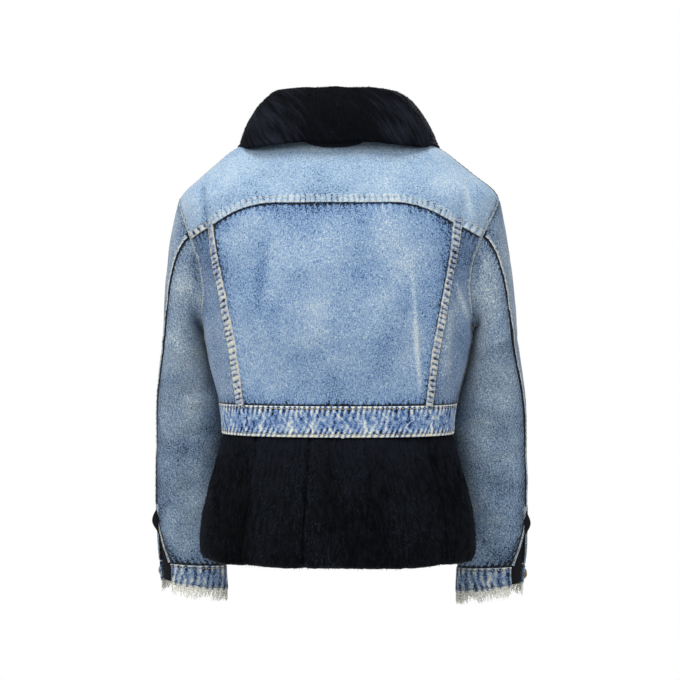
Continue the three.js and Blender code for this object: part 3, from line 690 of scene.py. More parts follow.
@dataclass(frozen=True)
class Fur:
    """Sheared fur: a dense pile that drinks the light, with a blue-grey gleam where it lies over."""

    name: str
    root: str
    tip: str
    gleam: str
    gleam_share: float = 0.02
    lock_mm: float = 4.0
    run_mm: float = 26.0
    depth_mm: float = 1.6
    shine: float = 0.05

    def build(self) -> bpy.types.Material:
        """Makes the material.

        Returns:
            The material, which reads the cloth's UV map and the "rub" attribute.
        """
        material, tree, shader = new_material(self.name)
        place = add_node(tree, "ShaderNodeTexCoord")
        sway = add_node(tree, "ShaderNodeTexNoise", {"Vector": place.outputs["UV"], "Scale": 60.0})
        swayed = add_node(tree, "ShaderNodeMixRGB", {
            "Fac": 0.012, "Color1": place.outputs["UV"], "Color2": sway.outputs["Color"]}, blend_type="ADD")
        nap_place = add_node(tree, "ShaderNodeMapping", {
            "Vector": swayed.outputs[0], "Scale": (1 / (self.lock_mm * MM), 1 / (self.run_mm * MM), 1.0)})
        nap = add_node(tree, "ShaderNodeTexNoise", {
            "Vector": nap_place.outputs[0], "Scale": 1.0, "Detail": 4.0, "Roughness": 0.62},
            noise_dimensions="2D")
        fine = add_node(tree, "ShaderNodeTexNoise", {"Vector": place.outputs["Object"], "Scale": 900.0})
        worn_and_shaded = add_node(tree, "ShaderNodeAttribute", attribute_name="worn_and_shaded")
        value = scaled_sum(tree, nap.outputs[0], 1.5, -0.45)
        value = scaled_sum(tree, worn_and_shaded.outputs["Fac"], 0.5, value)
        colour_by(tree, shader, value, ((0.15, self.root), (0.95, self.tip)))
        emboss(tree, shader, scaled_sum(tree, fine.outputs[0], 0.3, nap.outputs[0]), 0.8, self.depth_mm)
        shader.inputs["Roughness"].default_value = 0.7
        shader.inputs["Specular IOR Level"].default_value = self.shine
        shader.inputs["Sheen Weight"].default_value = self.gleam_share
        shader.inputs["Sheen Roughness"].default_value = 0.35
        shader.inputs["Sheen Tint"].default_value = linear(self.gleam)
        return material


@dataclass(frozen=True)
class Thread:
    """Thread, yarn, lining or hair: matt, with slightly darker places along it."""

    name: str
    light: str
    dark: str
    scale_mm: float = 1.2
    shine: float = 0.2

    def build(self) -> bpy.types.Material:
        """Makes the material, which reads Object coordinates and the "rub" attribute."""
        material, tree, shader = new_material(self.name)
        place = add_node(tree, "ShaderNodeTexCoord")
        twist = add_node(tree, "ShaderNodeTexNoise", {
            "Vector": place.outputs["Object"], "Scale": 1 / (self.scale_mm * MM), "Detail": 2.0})
        worn_and_shaded = add_node(tree, "ShaderNodeAttribute", attribute_name="worn_and_shaded")
        value = scaled_sum(tree, worn_and_shaded.outputs["Fac"], 0.25, twist.outputs[0])
        colour_by(tree, shader, value, ((0.35, self.dark), (0.6, self.light)))
        emboss(tree, shader, twist.outputs[0], 0.4, 0.2)
        shader.inputs["Roughness"].default_value = 0.9
        shader.inputs["Specular IOR Level"].default_value = self.shine
        return material


@dataclass(frozen=True)
class Brass:
    """Cast brass, aged and tumbled: a satin metal, darker in uneven patches."""

    name: str
    bright: str
    dull: str

    def build(self) -> bpy.types.Material:
        """Makes the material, which reads Object coordinates."""
        material, tree, shader = new_material(self.name)
        place = add_node(tree, "ShaderNodeTexCoord")
        stain = add_node(tree, "ShaderNodeTexNoise", {
            "Vector": place.outputs["Object"], "Scale": 450.0, "Detail": 4.0})
        colour_by(tree, shader, stain.outputs[0], ((0.35, self.dull), (0.65, self.bright)))
        satin = add_node(tree, "ShaderNodeMapRange", {
            "Value": stain.outputs[0], "To Min": 0.5, "To Max": 0.3})
        tree.links.new(satin.outputs[0], shader.inputs["Roughness"])
        emboss(tree, shader, stain.outputs[0], 0.2, 0.1)
        shader.inputs["Metallic"].default_value = 1.0
        return material


class Cloth(Enum):
    """The finishes of the jacket: each one's material slot in the record and its maker."""

    # The yoke's denim is washed palest, almost grey-white, and gives a soft chalky light to the shoulders.
    PALE = ("denim_pale", Denim("stone-washed denim, pale", "#6581a3", "#8aa1b6", "#a9b8c2"))
    # The body's denim keeps more indigo, with a salt-and-pepper fleck from the ecru weft.
    MID = ("denim_mid", Denim("stone-washed denim, mid", "#4b6a94", "#7b94b0", "#9fb0be"))
    # The same cloth at the sides, made deeper blue as painted shade where the body turns away from the light.
    SIDE = ("denim_mid", Denim("stone-washed denim, mid, painted shade", "#3d5679", "#667d98", "#8e9dab"))
    # The sleeves have lost their blue and look dusty and greyed; their cloth is also darker than the body's,
    # as painted shade.
    GREY_AND_SHADED = ("denim_grey", Denim("stone-washed denim, greyed and painted darker", "#42566f", "#708499", "#9aa5aa"))
    # Folded double and sewn, the cloth stands in ridges that rub to ecru beside troughs of deep blue.
    PUCKERED = ("denim_puckered", Denim("stone-washed denim, folded and puckered", "#34558a", "#7790af",
                                        "#b4bcbe", ecru="#d6d2be", seam_share=0.5, fleck_share=1.6))
    # The cuffs are the same folded cloth, greyed like the sleeves.
    CUFF = ("denim_puckered", Denim("stone-washed denim, folded, greyed", "#34507a", "#7488a0",
                                    "#a9b0ae", ecru="#cdc9b8", seam_share=0.4, fleck_share=1.9))
    # Felled seams are four layers thick: pale blocks between dark, pulled-in rungs.
    SEAM = ("denim_puckered", Denim("stone-washed denim, felled seam", "#36476a", "#7c8ca4",
                                    "#a8afb0", ecru="#c2c1b6", seam_share=0.5, fleck_share=1.0))
    # The under collar is unwashed navy, darkened further to near-black as painted shade beneath the collar's
    # fall.
    DARK = ("denim_dark", Denim("unwashed denim, navy, with painted shade", "#05080f", "#0a101e", "#18222f", ecru="#5f6a76",
                                fleck_share=0.8, seam_share=0.3))
    # Dense sheared pile that swallows the light, with a faint blue cast where it turns.
    FUR = ("fur_black", Fur("sheared fur, blue-black", "#020305", "#14171f", "#3a4252"))
    # Its guard hairs catch a little grey light on their tips and make the nap visible.
    HAIR = ("fur_black", Thread("guard hairs of the fur", "#272c36", "#040509", 9.0, shine=0.1))
    # The collar is sheared shorter, so it is smoother and more like velvet.
    COLLAR_FUR = ("fur_black", Fur("sheared fur, blue-black, short", "#030408", "#1d2029", "#3a4252",
                                   gleam_share=0.02, lock_mm=6.0, run_mm=30.0, depth_mm=0.9))
    # Woven lining, plain black: it shows only as a dark shape in the slits.
    LINING = ("lining_black", Thread("black woven lining", "#0e0f14", "#050507", 2.0))
    # Undyed weft yarns, the brightest thing on the jacket.
    FRINGE = ("cotton_fringe", Thread("frayed ecru weft yarn", "#fbfaf4", "#d6d4c6"))
    # Waxed topstitching thread, warm ecru against the blue.
    STITCH = ("cotton_fringe", Thread("ecru topstitching thread", "#d9cfae", "#a8987a"))
    # Tumbled brass with a dull, warm glint.
    BRASS = ("button_metal", Brass("aged brass, satin", "#b39a6c", "#6a583a"))

    @property
    def slot(self) -> str:
        """Name of the material slot in the record."""
        return self.value[0]

    @property
    def material(self) -> bpy.types.Material:
        """The material, made at its first use."""
        finish = self.value[1]
        return bpy.data.materials.get(finish.name) or finish.build()


# ---- meshes ----

def to_mesh(bm: bmesh.types.BMesh, name: str) -> bpy.types.Mesh:
    """Mesh of what bmesh operators have made, which is freed."""
    mesh = bpy.data.meshes.new(name)
    bm.to_mesh(mesh)
    bm.free()
    return mesh


def arc_lengths(points: Array) -> Array:
    """Distances along lines of points from their first; the points run along the last axis but one."""
    steps = np.linalg.norm(np.diff(points, axis=-2), axis=-1)
    start = np.zeros(steps.shape[:-1] + (1,))
    return np.concatenate([start, np.cumsum(steps, -1)], -1)


def finish_piece(name: str, mesh: bpy.types.Mesh, cloth: Cloth,
                 nodes: Sequence[str] = ()) -> bpy.types.Object:
    """Makes a mesh a piece of the jacket.

    Args:
        name: name of the piece.
        mesh: its mesh, in metres and in place.
        cloth: its finish.
        nodes: the solids that it stands for.

    Returns:
        The piece, which rides on the jacket's body.
    """
    piece = bpy.data.objects.new(name, mesh)
    bpy.context.scene.collection.objects.link(piece)
    mesh.materials.clear()
    mesh.materials.append(cloth.material)
    mesh.polygons.foreach_set("use_smooth", [True] * len(mesh.polygons))
    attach(piece, BODY)
    if nodes:
        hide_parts(*nodes)
    cloth.slot
    LOG.info("%s: %d faces", name, len(mesh.polygons))
    return piece


def grid(name: str, across: int, up: int) -> tuple[bpy.types.Mesh, Array, Array]:
    """A flat grid of faces.

    Args:
        name: name of the mesh.
        across: faces across.
        up: faces up.

    Returns:
        The mesh, and the share across and up of each of its points.
    """
    bm = bmesh.new()
    bmesh.ops.create_grid(bm, x_segments=across, y_segments=up, size=0.5)
    mesh = to_mesh(bm, name)
    flat = np.empty(len(mesh.vertices) * 3)
    mesh.vertices.foreach_get("co", flat)
    flat = flat.reshape(-1, 3)
    return mesh, np.clip(flat[:, 0] + 0.5, 0, 1), np.clip(flat[:, 1] + 0.5, 0, 1)


def set_points(mesh: bpy.types.Mesh, points: Array, outward: Array) -> None:
    """Gives a mesh its points, and turns its faces outward.

    Args:
        mesh: the mesh.
        points: its points, in millimetres.
        outward: the outward direction at each point.
    """
    mesh.vertices.foreach_set("co", (points * MM).ravel())
    mesh.update()
    faces = np.empty(len(mesh.polygons) * 3)
    mesh.polygons.foreach_get("normal", faces)
    starts = np.empty(len(mesh.polygons), np.int32)
    mesh.polygons.foreach_get("loop_start", starts)
    corners = np.empty(len(mesh.loops), np.int32)
    mesh.loops.foreach_get("vertex_index", corners)
    if (faces.reshape(-1, 3) * outward[corners[starts]]).sum() < 0:
        mesh.flip_normals()


def set_map(mesh: bpy.types.Mesh, across: Array, up: Array) -> None:
    """Gives a mesh its UV map.

    Args:
        mesh: the mesh.
        across: first coordinate of each point, in millimetres.
        up: second coordinate of each point, in millimetres.
    """
    corners = np.empty(len(mesh.loops), np.int32)
    mesh.loops.foreach_get("vertex_index", corners)
    layer = mesh.uv_layers.new(name="cloth")
    layer.data.foreach_set("uv", (np.stack([across, up], -1)[corners] * MM).ravel())


def set_worn_and_shaded(mesh: bpy.types.Mesh, worn_and_shaded: Array) -> None:
    """Gives each point of a mesh how rubbed (above 0) or dark (below 0) the cloth is there; the values hold
    painted shade and painted highlights as well as real fading.
    """
    layer = mesh.attributes.new("worn_and_shaded", "FLOAT", "POINT")
    layer.data.foreach_set("value", worn_and_shaded.astype(np.float32))


def add_wall(piece: bpy.types.Object, thickness: float) -> None:
    """Gives a sheet of cloth its wall, inwards from its face, in millimetres."""
    wall = piece.modifiers.new("wall", "SOLIDIFY")
    wall.thickness = thickness * MM
    wall.offset = -1.0
    wall.use_rim = True


def tile(name: str, template: bpy.types.Mesh, frames: Array) -> bpy.types.Mesh:
    """One mesh of many copies of a small one.

    Args:
        name: name of the mesh.
        template: the small mesh.
        frames: for each copy, a 3 by 4 matrix from the template to the jacket, in millimetres.

    Returns:
        The joined mesh.
    """
    count = len(template.vertices)
    flat = np.empty(count * 3)
    template.vertices.foreach_get("co", flat)
    points = np.einsum("nij,kj->nki", frames[:, :, :3], flat.reshape(-1, 3)) + frames[:, None, :, 3]
    faces = [tuple(face.vertices) for face in template.polygons]
    joined = bpy.data.meshes.new(name)
    every = [tuple(corner + n * count for corner in face) for n in range(len(frames)) for face in faces]
    joined.from_pydata((points.reshape(-1, 3) * MM).tolist(), [], every)
    return joined


# ---- panels of cloth ----

@dataclass
class Patch:
    """A cut piece of cloth: a patch of a skin between four seams."""

    name: str
    skin: Skin
    place: Callable[[Array, Array], tuple[Array, Array]]
    steps: tuple[float, float]
    cloth: Cloth
    wall: float
    spacing: float = 3.8
    sign: int = 1
    lift: Callable[[Array, Array], Array] = lambda u, v: np.zeros_like(u)
    painted_light: Callable[[Array, Array], Array] = lambda u, v: np.zeros_like(u)
    drape: bool = True
    puckered: tuple[str, ...] = ("left", "right", "bottom", "top")
    pucker_height: float = 0.55
    held: str = "hung"
    rests_on: tuple[str, ...] = ()
    nodes: tuple[str, ...] = ()
    turned_in: float = 0.0008
    pucker_pitch: float = 8.2
    pucker_reach: float = 11.0
    blue_reach: float = 9.0
    shade_reach: float = 26.0
    shadow_line_reach: float = 1.3

    def sizes(self) -> tuple[float, float]:
        """Widest width and longest length of the cut, in millimetres."""
        u, v = np.meshgrid(np.linspace(0, 1, 41), np.linspace(0, 1, 41), indexing="ij")
        points = self.skin(*self.place(u, v))
        length = arc_lengths(points)[:, -1].max()
        width = arc_lengths(points.swapaxes(0, 1))[:, -1].max()
        return float(width), float(length)

    def distances(self, u: Array, v: Array) -> tuple[Array, Array, Array, Array]:
        """Distances along the cloth.

        Args:
            u: shares across.
            v: shares up.

        Returns:
            The distance from the left edge, the width there, the distance from the bottom, the length there.
        """
        lines = np.linspace(0, 1, 61)
        a, b = np.meshgrid(lines, lines, indexing="ij")
        points = self.skin(*self.place(a, b))
        up = arc_lengths(points)
        across = arc_lengths(points.swapaxes(0, 1)).T
        read = lambda table, s, t: self.bilinear(table, s * 60, t * 60)
        one = np.ones_like(u)
        return read(across, u, v), read(across, one, v), read(up, u, v), read(up, u, one)

    @staticmethod
    def bilinear(table: Array, s: Array, t: Array) -> Array:
        """Values between the entries of a table, at places counted in entries."""
        i = np.clip(s.astype(int), 0, table.shape[0] - 2)
        j = np.clip(t.astype(int), 0, table.shape[1] - 2)
        low = mix(table[i, j], table[i + 1, j], s - i)
        return mix(low, mix(table[i, j + 1], table[i + 1, j + 1], s - i), t - j)

    def pucker(self, u: Array, v: Array) -> tuple[Array, Array]:
        """Ripples beside the sewn edges.

        Args:
            u: shares across.
            v: shares up.

        Returns:
            Their height in millimetres, and how much paler or darker they make the cloth, with painted shade
            along the seam.
        """
        left, width, low, length = self.distances(u, v)
        edges = {"left": (left, low, 1.0), "right": (width - left, low, 2.0),
                 "bottom": (low, left, 3.0), "top": (length - low, left, 4.0)}
        height, worn_and_shaded = np.zeros_like(u), np.zeros_like(u)
        ripple, streak = Pucker(31, self.pucker_pitch), Grain(33)
        for name in self.puckered:
            off, along, row = edges[name]
            fade = np.exp(-((off / self.pucker_reach) ** 1.5))
            wave = ripple(along + 0.35 * off, row)
            height += fade * wave * self.pucker_height
            worn_and_shaded += fade * wave * 1.1
            # The dark line along each seam and the faint darkening beside it are painted shade, as if cast by
            # the raised seam strip; the pale ridges are real abrasion.
            worn_and_shaded -= 1.9 * np.exp(-((off / self.shadow_line_reach) ** 2))
            worn_and_shaded -= 0.3 * np.exp(-((off / self.shade_reach) ** 2))
            # Streaks of unfaded blue run in from the seam, where the ripples shield the cloth.
            worn_and_shaded -= 0.7 * np.exp(-((off / self.blue_reach) ** 2)) * (1 + 0.7 * streak(along / 3.6, off / 16))
        return height, worn_and_shaded

    def build(self) -> bpy.types.Object:
        """Makes the piece.

        Returns:
            The piece.
        """
        width, length = self.sizes()
        across, up = max(4, round(width / self.spacing)), max(4, round(length / self.spacing))
        mesh, u, v = grid(self.name, across, up)
        u = mix(self.turned_in, 1 - self.turned_in, u)
        v = mix(self.turned_in, 1 - self.turned_in, v)
        a, b = self.place(u, v)
        base, normal = self.skin(a, b), normals(self.skin, a, b, self.steps)
        turned = np.array([self.sign, 1, 1])
        base, normal = base * turned, normal * turned
        height, worn_and_shaded = self.pucker(u, v)
        if self.drape:
            height, worn_and_shaded = height + DRAPE.height(base), worn_and_shaded + DRAPE.worn_and_shaded(base)
        left, whole, low, tall = self.distances(u, v)
        edge = np.minimum(np.minimum(left, whole - left), np.minimum(low, tall - low))
        height = height * ease(edge, -2, 8) - 0.5 * np.exp(-((edge / 1.6) ** 2)) + self.lift(u, v)
        set_points(mesh, base + normal * height[:, None], normal)
        set_map(mesh, left, low)
        set_worn_and_shaded(mesh, worn_and_shaded + self.painted_light(u, v))
        piece = finish_piece(self.name, mesh, self.cloth, self.nodes)
        add_wall(piece, self.wall)
        self.declare()
        return piece

    def declare(self) -> None:
        """Works out the points of the cut, which nothing then uses.
        """
        u, v = np.meshgrid(np.linspace(0, 1, 61), np.linspace(0, 1, 61), indexing="ij")
        points = self.skin(*self.place(u, v))
        list(self.rests_on)


def blend(bottom: Curve, top: Curve, start: Curve, end: Curve,
          by_height: bool = False) -> Callable[[Array, Array], tuple]:
    """Blend of four edge curves into a patch, each giving pairs of skin values.

    Args:
        bottom: edge at v = 0.
        top: edge at v = 1.
        start: edge at u = 0.
        end: edge at u = 1.
        by_height: whether the rows keep pace with the height of the end edge, and so never fold back.

    Returns:
        The patch: skin values at shares across and up.
    """
    def place(u: Array, v: Array) -> tuple[Array, Array]:
        """Skin values at shares across and up."""
        one, zero = np.ones(1), np.zeros(1)
        low, high, left, right = bottom(u), top(u), start(v), end(v)
        if by_height:
            foot, head = end(zero)[1], end(one)[1]
            v = (right[1] - foot) / (head - foot)
        found = []
        for k in (0, 1):
            ruled = low[k] * (1 - v) + high[k] * v + left[k] * (1 - u) + right[k] * u
            under = bottom(zero)[k] * (1 - u) + bottom(one)[k] * u
            over = top(zero)[k] * (1 - u) + top(one)[k] * u
            found.append(ruled - under * (1 - v) - over * v)
        return found[0], found[1]
    return place


def yoke_seam(x: Array) -> tuple[Array, Array]:
    """Angle and height of the yoke seam at a distance from the middle."""
    z = YOKE_SEAM.at(np.abs(x), "z")
    return back_angle(x, z), z


def princess_seam(z: Array) -> tuple[Array, Array]:
    """Angle and height of the seam between the centre panel and the left side panel."""
    z = np.asarray(z, float)
    return back_angle(PRINCESS_SEAM.at(z, "x"), z), z


def yoke_end() -> float:
    """Distance from the middle at which the yoke seam meets the armhole."""
    x = np.arange(NECK_HALF_WIDTH, 216, 0.05)
    angle, z = yoke_seam(x)
    turn = np.degrees(np.arccos(np.clip((z - ARMHOLE_MIDDLE) / ARMHOLE_HALF, -1, 1)))
    return float(x[np.argmax(angle >= armhole_seam(turn)[0])])


YOKE_END_X = yoke_end()
YOKE_END_TURN = armhole_turn(float(yoke_seam(np.array(YOKE_END_X))[1]))
SHOULDER_Z = float(armhole_seam(np.array(0.0))[1])
NECK_SIDE_Z = float(neck_seam(np.array(90.0))[1])
UNDERARM = ARMHOLE_MIDDLE - ARMHOLE_HALF
PRINCESS_TOP = (165.0, -106.0)


def shoulder_seam(share: Array) -> tuple[Array, Array]:
    """Shoulder seam, from the armhole to the neck."""
    share = np.clip(share, 0, 1)
    return np.full(np.shape(share), 90.0), mix(SHOULDER_Z, NECK_SIDE_Z, share**0.87)


def joined(first: Curve, second: Curve, share: float) -> Curve:
    """One curve that follows the first up to a share and the second from there."""
    def curve(v: Array) -> tuple[Array, Array]:
        """Skin values at shares along."""
        one = first(np.clip(v / share, 0, 1))
        two = second(np.clip((v - share) / (1 - share), 0, 1))
        return np.where(v <= share, one[0], two[0]), np.where(v <= share, one[1], two[1])
    return curve


def mirrored(curve: Curve) -> Curve:
    """A curve from the right end to the left end of one that starts at the middle."""
    def whole(u: Array) -> tuple[Array, Array]:
        """Skin values at shares along."""
        half = 2 * u - 1
        angle, z = curve(np.abs(half))
        return angle * np.sign(half), z
    return whole


def left_edge(curve: Curve) -> Curve:
    """The same curve on the right half of the body."""
    return lambda v: (-curve(v)[0], curve(v)[1])


def flank(v: Array) -> tuple[Array, Array]:
    """Seam between the centre and side panels, from the waist up."""
    return princess_seam(mix(BAND_TOP, PRINCESS_TOP[1], v))


def armhole_between(start: float, end: float) -> Curve:
    """Part of the armhole between two turns."""
    return lambda v: armhole_seam(mix(start, end, v))


def side_seam(v: Array) -> tuple[Array, Array]:
    """Side seam from the waist to the underarm."""
    return np.full(np.shape(v), 90.0), mix(BAND_TOP, UNDERARM, v)


# Sections of seams, from one side -1 to the other 1: share of the height, and how much paler or darker the
# cloth is; the dark ends are painted shadow at the strip's edges, the pale bands are abrasion.
SECTION = ("side", "height", "worn_and_shaded")
LADDER = Table(SECTION, ((-1, 0.1, -3), (-0.88, 0.5, -3), (-0.8, 1, 0.4), (-0.74, 1, 0.9), (-0.62, 1, 0.1),
                         (0, 1, 0), (0.66, 1, 0), (0.82, 1, 1.0), (0.93, 0.8, 0.6), (1, 0.1, -0.2)))
EDGE_LOW = Table(SECTION, ((-1, 0, -0.1), (-0.6, 0.25, 0), (0, 0.7, 0.1), (0.5, 1, 0.3), (0.66, 1, 0.4),
                           (0.76, 1, 1.6), (0.84, 0.9, 1.4), (0.88, 0.5, -3), (1, 0.1, -4)))
EDGE_FIRST = Table(SECTION, ((-1, 0.05, -4), (-0.62, 0.08, -4), (-0.5, 0.7, -1), (-0.42, 1, 2.2),
                             (-0.2, 1, 1.9), (-0.05, 0.9, 0.1), (0.4, 0.6, 0), (1, 0.1, 0)))
EDGE_LAST = Table(SECTION, ((-1, 0.1, 0), (-0.4, 0.6, 0), (0.05, 0.9, 0.1), (0.2, 1, 1.5), (0.42, 1, 1.7),
                            (0.5, 0.7, -1), (0.6, 0.08, -4), (1, 0.05, -4)))


@dataclass(frozen=True)
class Seam:
    """A felled seam: a raised strip of folded cloth, sewn down with rows of stitches."""

    name: str
    skin: Skin
    steps: tuple[float, float]
    path: Curve
    width: float = 11.0
    height: float = 1.9
    shift: float = 0.0
    sign: int = 1
    pitch: float = 6.8
    ripple: float = 0.8
    skew: float = 0.5
    seed: int = 3
    lift: float = 0.0
    rows: tuple[float, ...] = (-0.66, 0.66)
    cloth: Cloth = Cloth.SEAM
    taper: tuple[float, float] = (1.0, 1.0)
    drape: bool = True
    section: Table = LADDER
    bars: float = 1.0
    plain_start: float = 0.0
    # Steps that the path is measured in, and read back in.
    samples: int = 600

    def line(self, count: int) -> tuple[Array, Array, Array]:
        """The path in even steps.

        Args:
            count: number of points.

        Returns:
            The two skin values and the distance along, in millimetres, at each point.
        """
        t = np.linspace(0, 1, 400)
        a, b = self.path(t)
        far = arc_lengths(self.skin(a, b))
        even = np.linspace(0, far[-1], count)
        t = np.interp(even, far, t)
        return (*self.path(t), even)

    def read(self, column: str) -> tuple[Array, Array]:
        """Places across the section, and a column's values there."""
        rows = np.array(self.section.rows, float)
        return rows[:, 0], rows[:, self.section.columns.index(column)]

    def length(self) -> float:
        """Length of the path in millimetres."""
        return float(self.line(2)[2][-1])

    def follow(self) -> Callable[[Array], tuple[Array, Array]]:
        """Function from distances along the path to its skin values."""
        a, b, far = self.line(self.samples)
        return lambda along: (np.interp(along, far, a), np.interp(along, far, b))

    def wave(self, along: Array, off: Array) -> Array:
        """Pucker of the strip at distances along the path and to its left."""
        return Pucker(self.seed, self.pitch)(along + self.skew * off, self.seed % 5)

    def tapered(self, u: Array) -> Array:
        """Width of the strip, as a share of its full width, at shares along it."""
        return mix(self.taper[0], self.taper[1], ease(u, 0, 0.35))

    def around(self, a: Array, b: Array, along: Array, off: Array, lift: Array) -> tuple[Array, Array]:
        """Points beside the path, on the draped cloth.

        Args:
            a: first skin values of the path.
            b: second skin values of the path.
            along: distance along the path.
            off: distance to the path's left, in millimetres.
            lift: height off the cloth.

        Returns:
            The points, and the outward directions.
        """
        step_a, step_b = self.steps
        by_a = (self.skin(a + step_a, b) - self.skin(a - step_a, b)) / (2 * step_a)
        by_b = (self.skin(a, b + step_b) - self.skin(a, b - step_b)) / (2 * step_b)
        normal = unit(np.cross(by_b, by_a))
        count = 401
        t = np.linspace(0, 1, count)
        line = self.skin(*self.path(t))
        far = arc_lengths(line)
        tangents = unit(np.gradient(line, axis=0))
        tangent = unit(np.stack([np.interp(along, far, tangents[:, k]) for k in range(3)], -1))
        side = unit(np.cross(normal, tangent)) * off[:, None]
        aa, ab, bb = (by_a * by_a).sum(-1), (by_a * by_b).sum(-1), (by_b * by_b).sum(-1)
        sa, sb = (side * by_a).sum(-1), (side * by_b).sum(-1)
        det = np.maximum(aa * bb - ab * ab, 1e-9)
        a2, b2 = a + (sa * bb - sb * ab) / det, b + (sb * aa - sa * ab) / det
        turned = np.array([self.sign, 1, 1])
        base, normal = self.skin(a2, b2) * turned, normals(self.skin, a2, b2, self.steps) * turned
        if self.drape:
            lift = lift + DRAPE.height(base)
        return base + normal * lift[:, None], normal

    def build(self) -> bpy.types.Object:
        """Makes the strip.

        Returns:
            The piece.
        """
        long = self.length()
        mesh, u, v = grid(self.name, max(8, round(long / 1.7)), 14)
        along, q = u * long, 2 * v - 1
        a, b = self.follow()(along)
        width = self.width * self.tapered(u)
        wave = self.wave(along, q * width / 2)
        hem = np.interp(q, *self.read("height"))
        lift = self.lift + self.height * hem + self.ripple * wave * hem
        for row in self.rows:
            lift = lift - 0.35 * np.exp(-(((q - row) / 0.13) ** 2))
        points, normal = self.around(a, b, along, self.shift + q * width / 2, lift)
        set_points(mesh, points, normal)
        set_map(mesh, along, q * width / 2)
        dirt = Grain(self.seed + 50)(along / 3.1, q * 2 + 9)
        # Between the rungs the cloth stands up and rubs pale; the rungs themselves are narrow and dark.
        rungs = mix(-1.2, 0.5, ease(wave, -0.7, -0.1)) * ease(along, self.plain_start, self.plain_start + 9)
        middle = 1 - ease(np.abs(q), 0.76, 0.88)
        # The section's dark edges are painted shadow beside and under the raised strip.
        set_worn_and_shaded(mesh, np.interp(q, *self.read("worn_and_shaded")) + self.bars * rungs * middle + 0.75 * dirt)
        piece = finish_piece(self.name, mesh, self.cloth)
        add_wall(piece, 1.0)
        return piece

    def stitches(self) -> Array:
        """Frames of the stitches on the strip.

        Returns:
            One 3 by 4 matrix for each stitch.
        """
        frames = []
        long = self.length()
        count = int(long / STITCH_PITCH)
        place = self.follow()
        for row in self.rows:
            along = (np.arange(count) + 0.5) * STITCH_PITCH
            off = self.shift + row * self.width / 2 * self.tapered(along / long)
            lift = self.lift + self.height - 0.1 + self.ripple * self.wave(along, off) * 0.8
            here, normal = self.around(*place(along), along, off, lift)
            ahead, _ = self.around(*place(along + 0.5), along + 0.5, off, lift)
            tangent = unit(ahead - here)
            side = unit(np.cross(normal, tangent))
            frames.append(np.stack([tangent, side, np.cross(tangent, side), here], -1))
        return np.concatenate(frames)


STITCH_PITCH = 3.6
STITCH_LENGTH = 2.9
STITCH_WIDTH = 0.9


def stitch() -> bpy.types.Mesh:
    """One stitch: a small pod of thread."""
    bm = bmesh.new()
    bmesh.ops.create_uvsphere(bm, u_segments=6, v_segments=4, radius=0.5)
    bmesh.ops.rotate(bm, verts=bm.verts, matrix=Matrix.Rotation(math.pi / 2, 3, "Y"))
    bmesh.ops.scale(bm, verts=bm.verts, vec=(STITCH_LENGTH, STITCH_WIDTH, STITCH_WIDTH * 0.7))
    return to_mesh(bm, "stitch")


def sew(name: str, seams: Sequence[Seam]) -> bpy.types.Object:
    """Makes the stitches of several seams as one piece.

    Args:
        name: name of the piece.
        seams: the seams.

    Returns:
        The piece.
    """
    frames = np.concatenate([seam.stitches() for seam in seams])
    return finish_piece(name, tile(name, stitch(), frames), Cloth.STITCH)


def grow(name: str, skin: Skin, steps: tuple[float, float], a: Array, b: Array, height: Array,
         worn_and_shaded: Array, seed: int, length: float) -> bpy.types.Object:
    """Grows the guard hairs of a fur: small locks that lie down and sway together.

    Args:
        name: name of the piece.
        skin: the fur's skin.
        steps: steps of its normals.
        a: first skin values of the roots.
        b: second skin values of the roots.
        height: height of the roots off the skin.
        worn_and_shaded: how much paler each lock is.
        seed: seed of the unevenness.
        length: usual length of a lock, in millimetres.

    Returns:
        The piece.
    """
    draw = np.random.default_rng(seed)
    bm = bmesh.new()
    bmesh.ops.create_cone(bm, cap_ends=False, segments=3, radius1=0.5, radius2=0.0, depth=1.0)
    bmesh.ops.translate(bm, verts=bm.verts, vec=(0, 0, 0.5))
    template = to_mesh(bm, "lock")
    count = len(a)
    base, normal = skin(a, b), normals(skin, a, b, steps)
    down = unit(skin(a, b - steps[1]) - base)
    across = np.cross(normal, down)
    sway = 0.55 * Grain(seed)(base[:, 0] / 13 + base[:, 1] / 17, base[:, 2] / 19)
    sway = sway + draw.normal(0, 0.16, count)
    rise = 0.24 + 0.16 * Grain(seed + 1)(base[:, 0] / 8 + base[:, 1] / 9, base[:, 2] / 11)
    rise = rise + draw.normal(0, 0.07, count)
    way = unit(down + across * sway[:, None] + normal * rise[:, None])
    long = length * np.clip(draw.normal(1, 0.18, count), 0.5, 1.5)
    side = unit(np.cross(way, normal))
    root = base + normal * (height - 0.9)[:, None]
    frames = np.stack([side * 1.5, np.cross(side, way) * 0.9, way * long[:, None], root], -1)
    mesh = tile(name, template, frames)
    set_worn_and_shaded(mesh, np.repeat(worn_and_shaded + draw.normal(0, 0.35, count), len(template.vertices)))
    return finish_piece(name, mesh, Cloth.HAIR)


# ---- sub-assemblies ----

SIDES = (("left", 1), ("right", -1))


